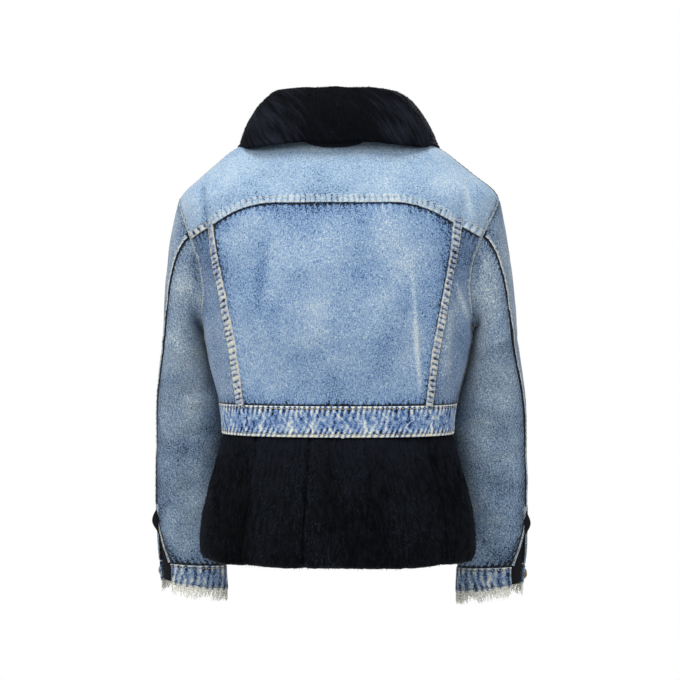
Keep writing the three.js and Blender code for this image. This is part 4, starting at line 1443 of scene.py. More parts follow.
@dataclass
class Back:
    """The back: a yoke, a centre panel and two side panels, joined by felled seams in a V."""

    yoke_share: float = 0.34
    side_share: float = 0.42
    princess_width: float = 15.0
    yoke_width: float = 14.0

    def panels(self) -> list[Patch]:
        """The cut pieces.

        Returns:
            The yoke, the centre panel and the side panels.
        """
        edge = joined(armhole_between(YOKE_END_TURN, 0), shoulder_seam, self.yoke_share)
        yoke = Patch(
            "yoke_cloth", torso,
            blend(mirrored(lambda s: yoke_seam(s * YOKE_END_X)), mirrored(lambda s: neck_seam(90 * s)),
                  left_edge(edge), edge, by_height=True),
            TORSO_STEPS, Cloth.PALE, DENIM_WALL, held="draped", nodes=("back_yoke",), puckered=("bottom",),
            pucker_height=0.5)
        centre = Patch(
            "centre_panel_cloth", torso,
            blend(mirrored(lambda s: (flank(np.zeros(1))[0] * s, np.full(np.shape(s), BAND_TOP))),
                  mirrored(lambda s: yoke_seam(s * PRINCESS_TOP[0])), left_edge(flank), flank),
            TORSO_STEPS, Cloth.MID, DENIM_WALL, nodes=("back_centre_panel",), rests_on=("yoke_cloth",))
        side_edge = joined(side_seam, armhole_between(180, YOKE_END_TURN), self.side_share)
        made = [yoke, centre]
        for name, sign in SIDES:
            made.append(Patch(
                f"side_panel_cloth_{name}", torso,
                blend(lambda u: (mix(flank(np.zeros(1))[0], 90, u), np.full(np.shape(u), BAND_TOP)),
                      lambda u: yoke_seam(mix(PRINCESS_TOP[0], YOKE_END_X, u)), flank, side_edge),
                TORSO_STEPS, Cloth.SIDE, DENIM_WALL, spacing=2.6, sign=sign,
                nodes=(f"back_side_panel_{name}",), rests_on=("yoke_cloth",)))
        return made

    def seams(self) -> list[Seam]:
        """The felled seams of the back.

        Returns:
            The yoke seam, and for each side the V seam and the short one beyond it.
        """
        across = mirrored(lambda s: yoke_seam(s * (PRINCESS_TOP[0] - 1)))
        made = [Seam("yoke_seam", torso, TORSO_STEPS, across, width=self.yoke_width, height=1.7,
                     shift=-6.0, pitch=7.6, ripple=0.5, skew=0.1, seed=4, cloth=Cloth.PALE,
                     section=EDGE_LOW, bars=0.9, rows=(0.5, -0.3))]
        # The right V seam was felled wide at its top, the left one wide at the waist.
        for name, sign in SIDES:
            left = name == "left"
            made.append(Seam(
                f"princess_seam_{name}", torso, TORSO_STEPS,
                lambda t: princess_seam(mix(PRINCESS_TOP[1] + 8, BAND_TOP, t)),
                width=self.princess_width, sign=sign, seed=7 + sign, shift=-3.5,
                taper=(0.6, 1.0) if left else (1.05, 0.8), pitch=7.8, height=2.1, ripple=0.7,
                skew=0.25, plain_start=38 if left else -9))
            made.append(Seam(
                f"yoke_end_seam_{name}", torso, TORSO_STEPS,
                lambda t: yoke_seam(mix(PRINCESS_TOP[0] + 6, YOKE_END_X - 2, t)),
                width=10 if left else 13, sign=sign, seed=17, shift=-4.0 if left else -6.0,
                height=1.8, pitch=11, cloth=Cloth.SEAM if left else Cloth.PALE,
                section=LADDER if left else EDGE_LOW))
        return made


@dataclass
class Front:
    """The front, finished plainly: two panels and a button band with its five buttons."""

    side_share: float = 0.24
    armhole_share: float = 0.6
    band_half_width: float = 16.0
    band_top: float = -74.0
    band_gap: float = 0.9
    band_wall: float = 1.8
    button_heights: tuple[float, ...] = (-106, -163, -220, -277, -334)

    def panels(self) -> list[Patch]:
        """The cut pieces.

        Returns:
            The two front panels and the button band.
        """
        above = joined(armhole_between(180, 360), shoulder_seam, self.armhole_share)
        edge = joined(side_seam, above, self.side_share)
        made = []
        for name, sign in SIDES:
            made.append(Patch(
                f"front_panel_cloth_{name}", torso,
                blend(lambda u: (mix(90, 180, u), np.full(np.shape(u), BAND_TOP)),
                      lambda u: neck_seam(mix(90, 180, u)), edge,
                      lambda v: (np.full(np.shape(v), 180.0),
                                 mix(BAND_TOP, float(neck_seam(np.array(180.0))[1]), v))),
                TORSO_STEPS, Cloth.MID, DENIM_WALL, spacing=5.5, sign=sign,
                nodes=(f"front_panel_{name}",), rests_on=("yoke_cloth",), puckered=("left", "bottom")))
        made.append(Patch(
            "button_band_cloth", torso, self.band_place, TORSO_STEPS, Cloth.MID, self.band_wall,
            spacing=2.4, nodes=("button_band",), rests_on=("front_panel_cloth_left",),
            lift=lambda u, v: np.full(np.shape(u), self.band_gap + self.band_wall), pucker_height=0.2))
        return made

    def band_place(self, u: Array, v: Array) -> tuple[Array, Array]:
        """Skin values of the button band at shares across and up."""
        z = mix(BAND_TOP + 0.4, self.band_top, v)
        level = np.linalg.norm(torso(np.full(np.shape(z), 180.0), z)[..., :2], axis=-1)
        return 180 + np.degrees(self.band_half_width / level) * (2 * u - 1), z

    def seams(self) -> list[Seam]:
        """The seams of the front: side seams and shoulder seams."""
        made = []
        for name, sign in SIDES:
            made.append(Seam(f"side_seam_{name}", torso, TORSO_STEPS, lambda t: side_seam(t * 0.97),
                             width=8, height=0.9, sign=sign, seed=21, ripple=0.4, cloth=Cloth.SIDE,
                             section=EDGE_FIRST, bars=0.3))
            made.append(Seam(f"shoulder_seam_{name}", torso, TORSO_STEPS,
                             lambda t: shoulder_seam(mix(0.03, 0.9, t)),
                             width=9, height=1.4, sign=sign, seed=23, ripple=0.4, shift=3,
                             cloth=Cloth.PUCKERED))
        return made


@dataclass
class Waistband:
    """The waistband: a folded strip all round, its edges puckered by their stitching."""

    start: float = 168.0
    lap: float = 17.0
    lap_rise: float = 330.0
    lap_top: float = 358.0

    def lift(self, u: Array) -> Array:
        """How far the strip stands off, as it laps over its own start."""
        turns = u * (360 + self.lap)
        return BAND_STAND + (BAND_WALL + LAY_GAP) * ease(turns, self.lap_rise, self.lap_top)

    def build(self) -> list[bpy.types.Object]:
        """Makes the strip and its stitches.

        Returns:
            The pieces.
        """
        strip = BandStrip(
            "waistband_cloth", torso, TORSO_STEPS,
            lambda u, v: (self.start - u * (360 + self.lap), mix(BAND_BOTTOM, BAND_TOP, v)),
            self.lift, 1, 41, nodes=("waistband",), rests_on=("centre_panel_cloth",))
        return strip.build()


@dataclass
class BandStrip:
    """A folded strip with a stitched edge above and below, and its thin bound edges."""

    name: str
    skin: Skin
    steps: tuple[float, float]
    place: Callable[[Array, Array], tuple[Array, Array]]
    lift: Callable[[Array], Array]
    sign: int
    seed: int
    nodes: tuple[str, ...]
    rests_on: tuple[str, ...]
    pitch: float = 7.4
    edge: float = 11.5
    bars: float = 1.7
    spacing: float = 1.8
    cloth: Cloth = Cloth.PUCKERED
    slants: tuple[float, float] = (0.5, -0.6)

    def build(self) -> list[bpy.types.Object]:
        """Makes the strip.

        Returns:
            The strip and its stitches.
        """
        patch = Patch(self.name, self.skin, self.place, self.steps, self.cloth, BAND_WALL,
                      sign=self.sign, nodes=self.nodes, rests_on=self.rests_on, held="stretched",
                      drape=False)
        width, length = patch.sizes()
        mesh, u, v = grid(self.name, round(width / self.spacing), round(length / 1.4))
        left, _, low, tall = patch.distances(u, v)
        a, b = self.place(u, v)
        turned = np.array([self.sign, 1, 1])
        base = self.skin(a, b) * turned
        normal = normals(self.skin, a, b, self.steps) * turned
        ripple, drag = Pucker(self.seed, self.pitch), Pucker(self.seed + 1, 15.0)
        top, bottom = tall - low, low
        wave = (ripple(left + self.slants[0] * top, 1.0) * np.exp(-((top / self.edge) ** 2))
                + ripple(left + self.slants[1] * bottom, 2.0) * np.exp(-((bottom / self.edge) ** 2)))
        patchy = Grain(self.seed + 3)(left / 34, low / 60)
        inner = drag(left + 0.7 * bottom * patchy, 3.0) * ease(np.minimum(top, bottom), 3, 14) * patchy
        height = self.lift(u) + 0.75 * wave + 0.4 * inner
        near = np.minimum(top, bottom)
        height = height - 0.5 * np.exp(-(((near - 3.4) / 0.9) ** 2)) - 0.7 * np.exp(-((near / 1.0) ** 2))
        set_points(mesh, base + normal * height[:, None], normal)
        set_map(mesh, low, left)
        dirt = Grain(self.seed + 9)(left / 2.6, low / 5)
        bound = ease(4.2 - bottom, 0, 1.2)
        seam_line = -0.9 * np.exp(-(((top - 3.4) / 1.1) ** 2)) - 0.8 * np.exp(-(((bottom - 4.2) / 1.0) ** 2))
        # Thin pale veins where the folded cloth has been crushed across the strip.
        wander = Grain(self.seed + 4)(bottom / 13, left / 52) * 13 + 0.5 * bottom
        vein = np.exp((np.sin((left + wander) * 2 * np.pi / 29) - 1) / 0.012) * ease(near, 2, 6)
        set_worn_and_shaded(mesh, self.bars * wave + 0.6 * inner + 0.7 * dirt + 1.2 * bound + 0.9 * ease(2.2 - top, 0, 1)
                + 1.4 * seam_line + 1.3 * vein - 0.25)
        piece = finish_piece(self.name, mesh, self.cloth, self.nodes)
        add_wall(piece, BAND_WALL)
        patch.declare()
        return [piece, self.sew(width, tall.mean(), ripple)]

    def sew(self, width: float, tall: float, ripple: Pucker) -> bpy.types.Object:
        """Makes the rows of stitches along both edges.

        Args:
            width: its length round.
            tall: its height.
            ripple: the pucker of its edges.

        Returns:
            The piece.
        """
        rows = []
        for off, row, slant in ((tall - 3.4, 1.0, self.slants[0]), (4.4, 2.0, self.slants[1])):
            along = np.arange(STITCH_PITCH / 2, width - 1, STITCH_PITCH)
            from_edge = min(off, tall - off)
            points = []
            for ahead in (0.0, 0.6):
                u = np.clip((along + ahead) / width, 0, 1)
                v = np.full(u.shape, off / tall)
                a, b = self.place(u, v)
                turned = np.array([self.sign, 1, 1])
                normal = normals(self.skin, a, b, self.steps) * turned
                wave = ripple(along + slant * from_edge, row) * math.exp(-((from_edge / self.edge) ** 2))
                lift = self.lift(u) + 0.75 * wave + 0.05
                points.append(self.skin(a, b) * turned + normal * lift[:, None])
            tangent = unit(points[1] - points[0])
            side = unit(np.cross(normal, tangent))
            rows.append(np.stack([tangent, side, np.cross(tangent, side), points[0]], -1))
        name = self.name.replace("_cloth", "_stitches")
        return finish_piece(name, tile(name, stitch(), np.concatenate(rows)), Cloth.STITCH)


@dataclass
class Peplum:
    """Six pelts of sheared fur that hang from the waistband."""

    wall: float = 9.0
    spacing: float = 2.7
    locks: float = 0.24
    nap: Grain = Grain(71)
    lock: Grain = Grain(72)
    slow: Grain = Grain(73)

    def build(self) -> list[bpy.types.Object]:
        """Makes the pelts.

        Returns:
            The pieces.
        """
        made = []
        for i, name in enumerate(PEPLUM_NAMES):
            start, end = PEPLUM_SEAMS[i], PEPLUM_SEAMS[i + 1]
            patch = Patch(
                f"pelt_{name}", peplum, lambda u, v, s=start, e=end: (mix(s, e, u), mix(HEM, BAND_BOTTOM, v)),
                PEPLUM_STEPS, Cloth.FUR, self.wall, drape=False, nodes=(f"fur_{name}",),
                rests_on=("waistband_cloth",), held="hung")
            width, length = patch.sizes()
            mesh, u, v = grid(patch.name, round(width / self.spacing), round(length / self.spacing))
            a, b = patch.place(mix(-0.003, 1.003, u), mix(0.002, 0.998, v))
            base, normal = peplum(a, b), normals(peplum, a, b, PEPLUM_STEPS)
            left, whole, low, tall = patch.distances(u, v)
            side = np.minimum(left, whole - left)
            set_points(mesh, base + normal * self.pile(a, b, side, low, tall)[:, None], normal)
            set_map(mesh, left + 300 * i, low)
            # Paler towards the waistband is a painted highlight where the flaring fur faces up; darker along
            # the pelt seams is painted shade in their grooves.
            top = np.exp(-(((tall - low) / 42) ** 2))
            set_worn_and_shaded(mesh, 0.45 * top - 0.5 * np.exp(-((side / 4) ** 2)) + 0.25 * self.slow(a / 20, b / 60))
            piece = finish_piece(patch.name, mesh, Cloth.FUR, patch.nodes)
            add_wall(piece, self.wall - 1.5)
            patch.declare()
            draw = np.random.default_rng(200 + i)
            count = int(width * length * self.locks)
            u, v = draw.uniform(0, 1, count), draw.uniform(0.034, 0.975, count)
            a, b = patch.place(u, v)
            left, whole, low, tall = patch.distances(u, v)
            height = self.pile(a, b, np.minimum(left, whole - left), low, tall)
            # The locks are paler towards the waistband as a painted highlight, and darker in the standing
            # folds as painted shade.
            worn_and_shaded = 2.0 * np.exp(-(((tall - low) / 26) ** 2)) + 1.4 * self.slow(a / 14 + 5, b / 55)
            for middle, spread, depth, mid_z, reach in PEPLUM_FOLDS:
                worn_and_shaded -= 0.18 * depth * np.exp(-(((a - middle) / spread) ** 2) - ((b - mid_z) / reach) ** 2)
            made += [piece, grow(f"locks_{name}", peplum, PEPLUM_STEPS, a, b, height, worn_and_shaded, 300 + i, 6.5)]
        return made

    def pile(self, a: Array, b: Array, side: Array, low: Array, tall: Array) -> Array:
        """Height of the pile off the skin.

        Args:
            a: angles.
            b: heights.
            side: distance from the nearer side seam.
            low: distance from the hem.
            tall: length from the hem to the waistband.

        Returns:
            Heights in millimetres.
        """
        around = a * 2.9
        sway = 3.4 * self.slow(around / 30, b / 26)
        height = 0.7 * self.nap((around + sway) / 5.2, b / 24)
        height = height + 0.32 * self.lock((around + sway) / 2.6, b / 9)
        height = height + 2.5 * self.slow(around / 46, b / 70)
        height = height - 2.0 * np.exp(-((side / 3.2) ** 2)) - 1.2 * np.exp(-(((tall - low) / 5) ** 2))
        return height - 2.2 * np.exp(-((low / 3.5) ** 2)) - 0.9


@dataclass
class Collar:
    """The spread collar: fur outside, turned over a denim under collar with its stand."""

    end: float = 174.0
    fur: float = 10.0
    thin: float = 3.5
    gap: float = 1.3
    seam_share: float = 0.996
    allowance: float = 3.0
    locks: float = 0.15
    spacing: float = 2.6
    wall: float = 3.0

    def sewn_in(self, around: Array, share: Array) -> Array:
        """Points of the collar whose last rows go down behind the neck seam, as its seam allowance."""
        points = collar(around, np.minimum(share, self.seam_share))
        below = np.clip((share - self.seam_share) / (1 - self.seam_share), 0, None)
        points[..., 2] -= self.allowance * below
        return points

    def build(self) -> list[bpy.types.Object]:
        """Makes the two collars.

        Returns:
            The pieces.
        """
        turn = lambda u: mix(-self.end, self.end, u)
        under = Patch(
            "under_collar_cloth", self.sewn_in, lambda u, v: (turn(u), mix(0.05, 1.0, v)), COLLAR_STEPS,
            Cloth.DARK, DENIM_WALL, spacing=6.0, drape=False, nodes=("under_collar",), held="folded",
            lift=lambda u, v: np.full(np.shape(u), -self.gap), rests_on=("yoke_cloth",),
            pucker_height=0.3)
        made = [under.build()]
        patch = Patch(
            "collar_fur", collar, lambda u, v: (turn(u), mix(0.01, 0.98, v)), COLLAR_STEPS,
            Cloth.COLLAR_FUR, self.wall, drape=False, nodes=("fur_collar",), held="folded",
            rests_on=("under_collar_cloth",))
        width, length = patch.sizes()
        mesh, u, v = grid(patch.name, round(width / self.spacing), round(length / self.spacing))
        a, b = patch.place(u, v)
        base, normal = self.brushed(a, b), normals(self.brushed, a, b, COLLAR_STEPS)
        left, _, low, _ = patch.distances(u, v)
        set_points(mesh, base + normal * self.pile(u, v, left, low)[:, None], normal)
        set_map(mesh, left, low)
        # The paler sloping sides of the collar are a painted sheen.
        gleam = 0.9 * ease(np.abs(a), 22, 50) * (0.6 + 0.6 * Grain(84)(left / 16, low / 16))
        set_worn_and_shaded(mesh, gleam + 0.3 * Grain(82)(left / 50, low / 40) - 0.35)
        piece = finish_piece(patch.name, mesh, Cloth.COLLAR_FUR, patch.nodes)
        add_wall(piece, self.wall)
        patch.declare()
        draw = np.random.default_rng(85)
        count = int(width * length * self.locks)
        u, v = draw.uniform(0.004, 0.996, count), draw.uniform(0.03, 0.93, count)
        left, _, low, _ = patch.distances(u, v)
        a, b = patch.place(u, v)
        # The locks on the collar's sloping sides are paler as a painted sheen.
        worn_and_shaded = 1.6 * ease(np.abs(a), 24, 52) * (0.5 + 0.8 * Grain(84)(left / 16, low / 16)) - 0.5
        locks = grow("locks_collar", self.brushed, COLLAR_STEPS, a, b, self.pile(u, v, left, low), worn_and_shaded,
                     86, 4.5)
        rows = [Seam(f"stand_row_{n}", collar, COLLAR_STEPS, lambda t, s=share: (
            mix(-reach, reach, t), np.full(np.shape(t), s)), height=0, ripple=0, lift=-1.0, rows=(0.0,),
            drape=False) for n, (share, reach) in enumerate(((0.976, 46), (0.958, 40)))]
        return [*made, piece, locks, sew("collar_stitches", rows)]

    def brushed(self, around: Array, share: Array) -> Array:
        """Points of the fur collar, whose pile is brushed down past its edge at the back."""
        points = collar(around, share)
        place = np.abs(np.asarray(around, float))
        fall = 8 + 9 * np.exp(-((place / 34) ** 2)) + 3 * np.exp(-(((place - 50) / 22) ** 2))
        near = np.clip(1 - np.asarray(share, float), 0, 1) ** 5
        points[..., 2] -= fall * near * ease(118 - place, 0, 40)
        return clear_torso(points, np.full(place.shape, 0.6)) if points.ndim else points

    def pile(self, u: Array, v: Array, left: Array, low: Array) -> Array:
        """Height of the collar's pile off its skin, thin at its edges.

        Args:
            u: shares round the neck.
            v: shares from the edge to the neck seam.
            left: distances round the neck.
            low: distances from the edge.

        Returns:
            Heights in millimetres.
        """
        edge = np.maximum(np.abs(2 * v - 1) ** 5, np.abs(2 * u - 1) ** 14)
        height = mix(self.fur, self.thin, edge) + 1.4 * Grain(82)(left / 44, low / 40) * (1 - edge)
        return height + 0.3 * Grain(81)(left / 5, low / 11) - 1.2


@dataclass
class Sleeve:
    """One sleeve: top and under sleeve, the lining of its slit, the open cuff and its frayed edge."""

    side: str
    sign: int
    slit_wall: float = 1.0
    slit_depth: float = 2.6

    @staticmethod
    def far(v: Array) -> Array:
        """Share along the sleeve of a share along its cut, whose first part is turned in at the armhole."""
        return mix(-0.01, SLEEVE_END, v)

    @staticmethod
    def painted_light(u: Array, v: Array) -> Array:
        """Painted light and shade of the sleeve: paler above the elbow and darker below it."""
        return 0.2 - 0.45 * ease(v, 0.35, 0.7)

    @staticmethod
    def seam(column: str, share: Array) -> Array:
        """Turn of a seam at a share along the sleeve."""
        return SLEEVE_SEAMS.at(share, column)

    def panels(self) -> list[Patch]:
        """The cut pieces.

        Returns:
            The top and under sleeve and the slit's lining.
        """
        top = Patch(
            f"sleeve_top_cloth_{self.side}", sleeve,
            lambda u, v: (mix(self.seam("front", self.far(v)) - 360, self.seam("back_top", self.far(v)), u),
                          self.far(v)),
            SLEEVE_STEPS, Cloth.GREY_AND_SHADED, DENIM_WALL, sign=self.sign, nodes=(f"sleeve_top_{self.side}",),
            rests_on=("yoke_cloth",), pucker_height=0.6, puckered=("left", "right", "top", "bottom"),
            painted_light=self.painted_light)
        under = Patch(
            f"sleeve_under_cloth_{self.side}", sleeve,
            lambda u, v: (mix(self.seam("back_under", self.far(v)), self.seam("front", self.far(v)), u),
                          self.far(v)),
            SLEEVE_STEPS, Cloth.GREY_AND_SHADED, DENIM_WALL, sign=self.sign, nodes=(f"sleeve_under_{self.side}",),
            rests_on=("yoke_cloth",), pucker_height=0.45, puckered=("left", "right", "top"),
            painted_light=self.painted_light)
        lining = Patch(
            f"slit_lining_cloth_{self.side}", sleeve, self.slit_place, SLEEVE_STEPS, Cloth.LINING,
            self.slit_wall, sign=self.sign, nodes=(f"slit_lining_{self.side}",), spacing=2.5,
            lift=self.lining_lift, drape=False, puckered=(),
            rests_on=(f"sleeve_top_cloth_{self.side}",))
        return [top, under, lining]

    def lining_lift(self, u: Array, v: Array) -> Array:
        """How far the lining stands off the sleeve: it bellies out of the head of the slit."""
        belly = np.exp(-(((v - 0.24) / 0.15) ** 2)) * np.exp(-(((2 * u - 1) / 0.42) ** 2))
        return 13.0 * belly - DENIM_WALL - self.slit_depth

    def slit_place(self, u: Array, v: Array) -> tuple[Array, Array]:
        """Skin values of the slit's lining at shares across and along."""
        share = mix(0.754, 0.995, v)
        return mix(self.seam("back_top", share) - 9, self.seam("back_under", share) + 9, u), share

    def strip(self, share: Array, u: Array) -> Array:
        """Turn of the open cuff at a share along the sleeve and a share round the cuff."""
        return mix(self.seam("back_under", share), self.seam("back_top", share) + 360, u)

    def cuff(self) -> BandStrip:
        """The open cuff."""
        top, bottom = sleeve_share(CUFF_TOP), sleeve_share(CUFF_BOTTOM)
        return BandStrip(
            f"cuff_cloth_{self.side}", sleeve, SLEEVE_STEPS,
            lambda u, v: (self.strip(mix(bottom, top, v), u), mix(bottom, top, v)),
            lambda u: np.full(np.shape(u), BAND_STAND), self.sign, 61 + self.sign,
            nodes=(f"cuff_{self.side}",), rests_on=(f"sleeve_top_cloth_{self.side}",), pitch=9.5,
            edge=15.0, bars=1.5, cloth=Cloth.CUFF, slants=(0.1, -0.1))

    def seams(self) -> list[Seam]:
        """The felled seams: down the back, round the armhole and along the slit."""
        back = lambda t: (self.seam("back_top", mix(0.004, SLIT_TOP, t)), mix(0.004, SLIT_TOP, t))
        slit = lambda column: lambda t: (
            self.seam(column, mix(SLIT_TOP, SLEEVE_END - 0.004, t)), mix(SLIT_TOP, SLEEVE_END - 0.004, t))
        return [
            Seam(f"sleeve_back_seam_{self.side}", sleeve, SLEEVE_STEPS, back, width=9, height=1.6,
                 sign=self.sign, seed=31, ripple=0.4, shift=-3.4, pitch=8.5, rows=(-0.1,),
                 cloth=Cloth.GREY_AND_SHADED, section=EDGE_LAST, bars=0.5),
            Seam(f"armhole_seam_{self.side}", torso, TORSO_STEPS,
                 lambda t: armhole_seam(mix(-178, 178, t)), width=7.5, height=1.7, sign=self.sign,
                 seed=33, ripple=0.35, shift=3.4, rows=(0.4,), pitch=8.0, cloth=Cloth.SIDE,
                 section=EDGE_FIRST, bars=0.35),
            Seam(f"slit_edge_top_{self.side}", sleeve, SLEEVE_STEPS, slit("back_top"), width=6,
                 height=1.2, sign=self.sign, seed=35, ripple=0.3, shift=2.8, rows=(0.3,),
                 cloth=Cloth.GREY_AND_SHADED, section=EDGE_FIRST, bars=0.3),
            Seam(f"slit_edge_under_{self.side}", sleeve, SLEEVE_STEPS, slit("back_under"), width=5,
                 height=1.1, sign=self.sign, seed=37, ripple=0.3, shift=-2.4, rows=(-0.2,),
                 cloth=Cloth.GREY_AND_SHADED, section=EDGE_LOW, bars=0.3),
        ]

    def fringe(self) -> bpy.types.Object:
        """The frayed edge: loose yarns that hang from the cuff, uneven in length.

        Returns:
            The piece.
        """
        draw = np.random.default_rng(90 + self.sign)
        bm = bmesh.new()
        bmesh.ops.create_cone(bm, cap_ends=True, segments=4, radius1=0.5, radius2=0.22, depth=1.0)
        bmesh.ops.translate(bm, verts=bm.verts, vec=(0, 0, -0.5))
        bmesh.ops.rotate(bm, verts=bm.verts, matrix=Matrix.Rotation(math.pi, 3, "X"))
        bmesh.ops.translate(bm, verts=bm.verts, vec=(0, 0, -1.0))
        template = to_mesh(bm, "yarn")
        count, parts = 340, 4
        u = np.clip((np.arange(count) + draw.uniform(-0.4, 0.4, count)) / count, 0.002, 0.998)
        turn = self.strip(np.ones(count), u)
        share = np.full(count, 1 - SLEEVE_STEPS[1])
        normal = normals(sleeve, turn, share, SLEEVE_STEPS)
        root = sleeve(turn, np.ones(count)) - normal * draw.uniform(0.2, 2.2, count)[:, None]
        across = unit(np.cross(np.array([0.0, 0, 1]), normal))
        clump = Grain(95 + self.sign)(u * 46, np.zeros(count))
        length = np.clip(12.5 + 3.5 * clump + draw.normal(0, 2.4, count), 5, 16.8)
        lean = across * (3.2 * Grain(97)(u * 30, np.zeros(count)) + draw.normal(0, 1.3, count))[:, None]
        frames = []
        for n in range(parts):
            t = (n + 1) / parts
            wave = across * (0.8 * draw.normal(0, 1, count))[:, None] + normal * (0.5 * draw.normal(
                0, 1, count))[:, None]
            here = root if n == 0 else after
            after = root + np.array([0, 0, -1.0]) * (length * t)[:, None] + lean * t**1.4 + wave * t
            reach = after - here
            thick = mix(1.9, 1.0, t)
            far = np.linalg.norm(reach, axis=1, keepdims=True)
            down = -reach / far
            side = unit(np.cross(down, normal))
            other = np.cross(side, down)
            frames.append(np.stack([side * thick, other * thick, -reach, here], -1))
        frames = np.concatenate(frames)
        frames[:, 0, :] *= self.sign
        mesh = tile(f"fringe_yarns_{self.side}", template, frames)
        if self.sign < 0:
            mesh.flip_normals()
        return finish_piece(mesh.name, mesh, Cloth.FRINGE, (f"cuff_fringe_{self.side}",))


@dataclass
class Button:
    """A cast button: a dished disc with a rolled rim, which lies on the cloth."""

    node: str
    skin: Skin
    steps: tuple[float, float]
    place: tuple[float, float]
    lift: float
    sign: int = 1
    # Radii and heights of the turned section, from the middle of the foot round the rim to the dish.
    section: tuple[tuple[float, float], ...] = (
        (0, 0), (6.2, 0), (7.7, 0.5), (8.4, 1.5), (8.5, 2.5), (8.0, 3.6), (7.2, 4.1), (6.3, 3.8),
        (5.6, 3.0), (3.6, 3.3), (1.6, 3.7), (0, 3.8))

    def build(self) -> bpy.types.Object:
        """Turns the button's section and sets it on the cloth.

        Returns:
            The piece.
        """
        a, b = np.array([self.place[0]]), np.array([self.place[1]])
        turned = np.array([self.sign, 1, 1])
        normal = (normals(self.skin, a, b, self.steps) * turned)[0]
        centre = (self.skin(a, b) * turned)[0] + normal * self.lift
        bm = bmesh.new()
        corners = [bm.verts.new((r, 0, h)) for r, h in self.section]
        edges = [bm.edges.new(pair) for pair in zip(corners, corners[1:])]
        bmesh.ops.spin(bm, geom=corners + edges, axis=(0, 0, 1), cent=(0, 0, 0), angle=2 * math.pi,
                       steps=40, use_merge=True)
        bmesh.ops.remove_doubles(bm, verts=bm.verts, dist=0.001)
        bmesh.ops.recalc_face_normals(bm, faces=bm.faces)
        turn = Vector((0, 0, 1)).rotation_difference(Vector(normal)).to_matrix().to_4x4()
        bm.transform(Matrix.Scale(MM, 4) @ Matrix.Translation(Vector(centre)) @ turn)
        mesh = to_mesh(bm, f"{self.node}_cast")
        return finish_piece(mesh.name, mesh, Cloth.BRASS, (self.node,))


def buttons(front: Front) -> list[Button]:
    """The buttons of the front, the waistband and the cuffs.

    Args:
        front: the front, which says where its buttons are.

    Returns:
        The buttons.
    """
    lift = front.band_gap + front.band_wall + LAY_GAP
    made = [Button(f"front_button_{i + 1}", torso, TORSO_STEPS, (180, z), lift)
            for i, z in enumerate(front.button_heights)]
    made.append(Button(
        "waistband_button", torso, TORSO_STEPS,
        (Waistband.start - Waistband.lap / 2, (BAND_TOP + BAND_BOTTOM) / 2),
        BAND_STAND + BAND_WALL + 3 * LAY_GAP))
    middle = (sleeve_share(CUFF_TOP) + sleeve_share(CUFF_BOTTOM)) / 2
    for name, sign in SIDES:
        made.append(Button(f"cuff_button_{name}", sleeve, SLEEVE_STEPS, (-24, middle),
                           BAND_STAND + 2 * LAY_GAP, sign))
    return made


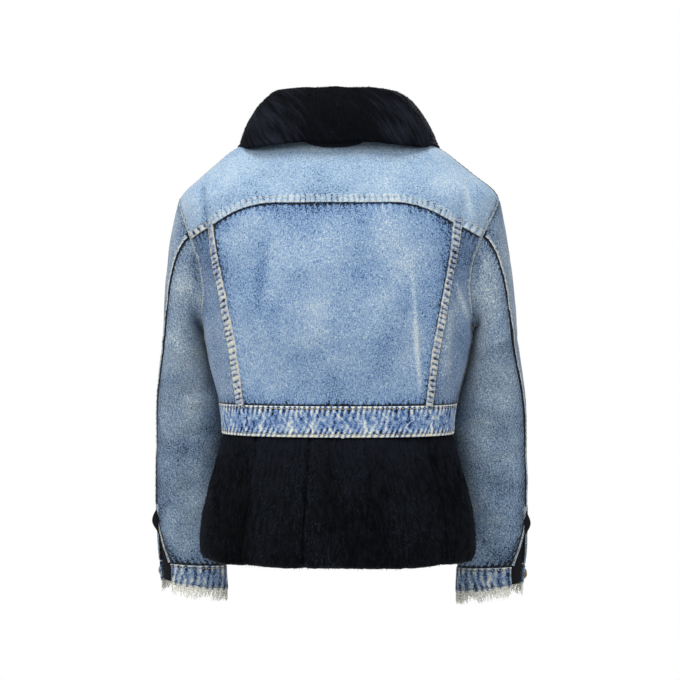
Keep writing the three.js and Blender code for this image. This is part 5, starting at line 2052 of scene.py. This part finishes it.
@dataclass
class Studio:
    """A plain pale room: floor, soft light and the camera behind the jacket."""

    floor_z: float = -1.42
    floor_side: float = 5.0
    eye: tuple[float, float, float] = (-0.174, 2.494, -0.234)
    target: tuple[float, float, float] = (-0.003, 0.0, -0.264)
    lens: float = 94.5
    sensor: float = 36.0

    def build(self) -> None:
        """Makes the floor, the lights, the world and the camera."""
        scene = bpy.context.scene
        bm = bmesh.new()
        bmesh.ops.create_grid(bm, x_segments=1, y_segments=1, size=self.floor_side / 2)
        bmesh.ops.translate(bm, verts=bm.verts, vec=(0, 0, self.floor_z))
        mesh = to_mesh(bm, "studio_floor")
        material, _, shader = new_material("painted floor, matt white")
        shader.inputs["Base Color"].default_value = linear("#f2f2f0")
        shader.inputs["Roughness"].default_value = 0.9
        mesh.materials.append(material)
        floor = bpy.data.objects.new("studio_floor", mesh)
        scene.collection.objects.link(floor)

        world = bpy.data.worlds.new("pale room")
        scene.world = world
        world.use_nodes = True
        tree = world.node_tree
        tree.nodes.clear()
        path = add_node(tree, "ShaderNodeLightPath")
        dim = add_node(tree, "ShaderNodeBackground", {"Color": linear("#f4f8ff"), "Strength": 0.42})
        white = add_node(tree, "ShaderNodeBackground", {"Color": (1, 1, 1, 1), "Strength": 1.0})
        both = add_node(tree, "ShaderNodeMixShader", {
            0: path.outputs["Is Camera Ray"], 1: dim.outputs[0], 2: white.outputs[0]})
        add_node(tree, "ShaderNodeOutputWorld", {"Surface": both.outputs[0]})

        self.lamp("overhead", (0.1, 0.9, 1.9), 1.5, 46.0)
        self.lamp("behind", (1.3, 2.3, 0.7), 1.1, 33.0)
        self.lamp("before", (-0.5, -2.6, 0.8), 1.8, 26.0)
        self.lamp("left", (2.5, 0.3, 0.4), 1.2, 12.0)
        self.lamp("right", (-2.4, 0.9, 0.4), 1.2, 20.0)

        camera = bpy.data.objects.new("camera", bpy.data.cameras.new("camera"))
        scene.collection.objects.link(camera)
        camera.location = self.eye
        look = Vector(self.target) - Vector(self.eye)
        camera.rotation_mode = "QUATERNION"
        camera.rotation_quaternion = look.to_track_quat("-Z", "Y")
        camera.data.sensor_width = self.sensor
        camera.data.lens = self.lens
        camera.data.clip_start, camera.data.clip_end = 0.05, 50
        scene.camera = camera
        scene.view_settings.view_transform = "Standard"

    def lamp(self, name: str, place: tuple[float, float, float], side: float, watts: float) -> None:
        """Adds a square soft light that faces the jacket.

        Args:
            name: name of the lamp.
            place: where it hangs.
            side: length of its side.
            watts: its power.
        """
        data = bpy.data.lights.new(name, "AREA")
        data.size, data.energy = side, watts
        lamp = bpy.data.objects.new(name, data)
        bpy.context.scene.collection.objects.link(lamp)
        lamp.location = place
        aim = Vector((0, 0, -0.28)) - Vector(place)
        lamp.rotation_mode = "QUATERNION"
        lamp.rotation_quaternion = aim.to_track_quat("-Z", "Y")


def main() -> None:
    """Builds the jacket, sub-assembly by sub-assembly."""
    logging.basicConfig(level=logging.INFO, format="%(message)s")
    Studio().build()
    back, front = Back(), Front()
    sleeves = [Sleeve(name, sign) for name, sign in SIDES]
    for patch in back.panels() + front.panels():
        patch.build()
    body_seams = back.seams() + front.seams()
    for seam in body_seams:
        seam.build()
    sew("body_stitches", body_seams)
    Waistband().build()
    Peplum().build()
    Collar().build()
    for one in sleeves:
        for patch in one.panels():
            patch.build()
        seams = one.seams()
        for seam in seams:
            seam.build()
        sew(f"sleeve_stitches_{one.side}", seams)
        one.cuff().build()
        one.fringe()
    for button in buttons(front):
        button.build()


if __name__ == "__main__":
    main()
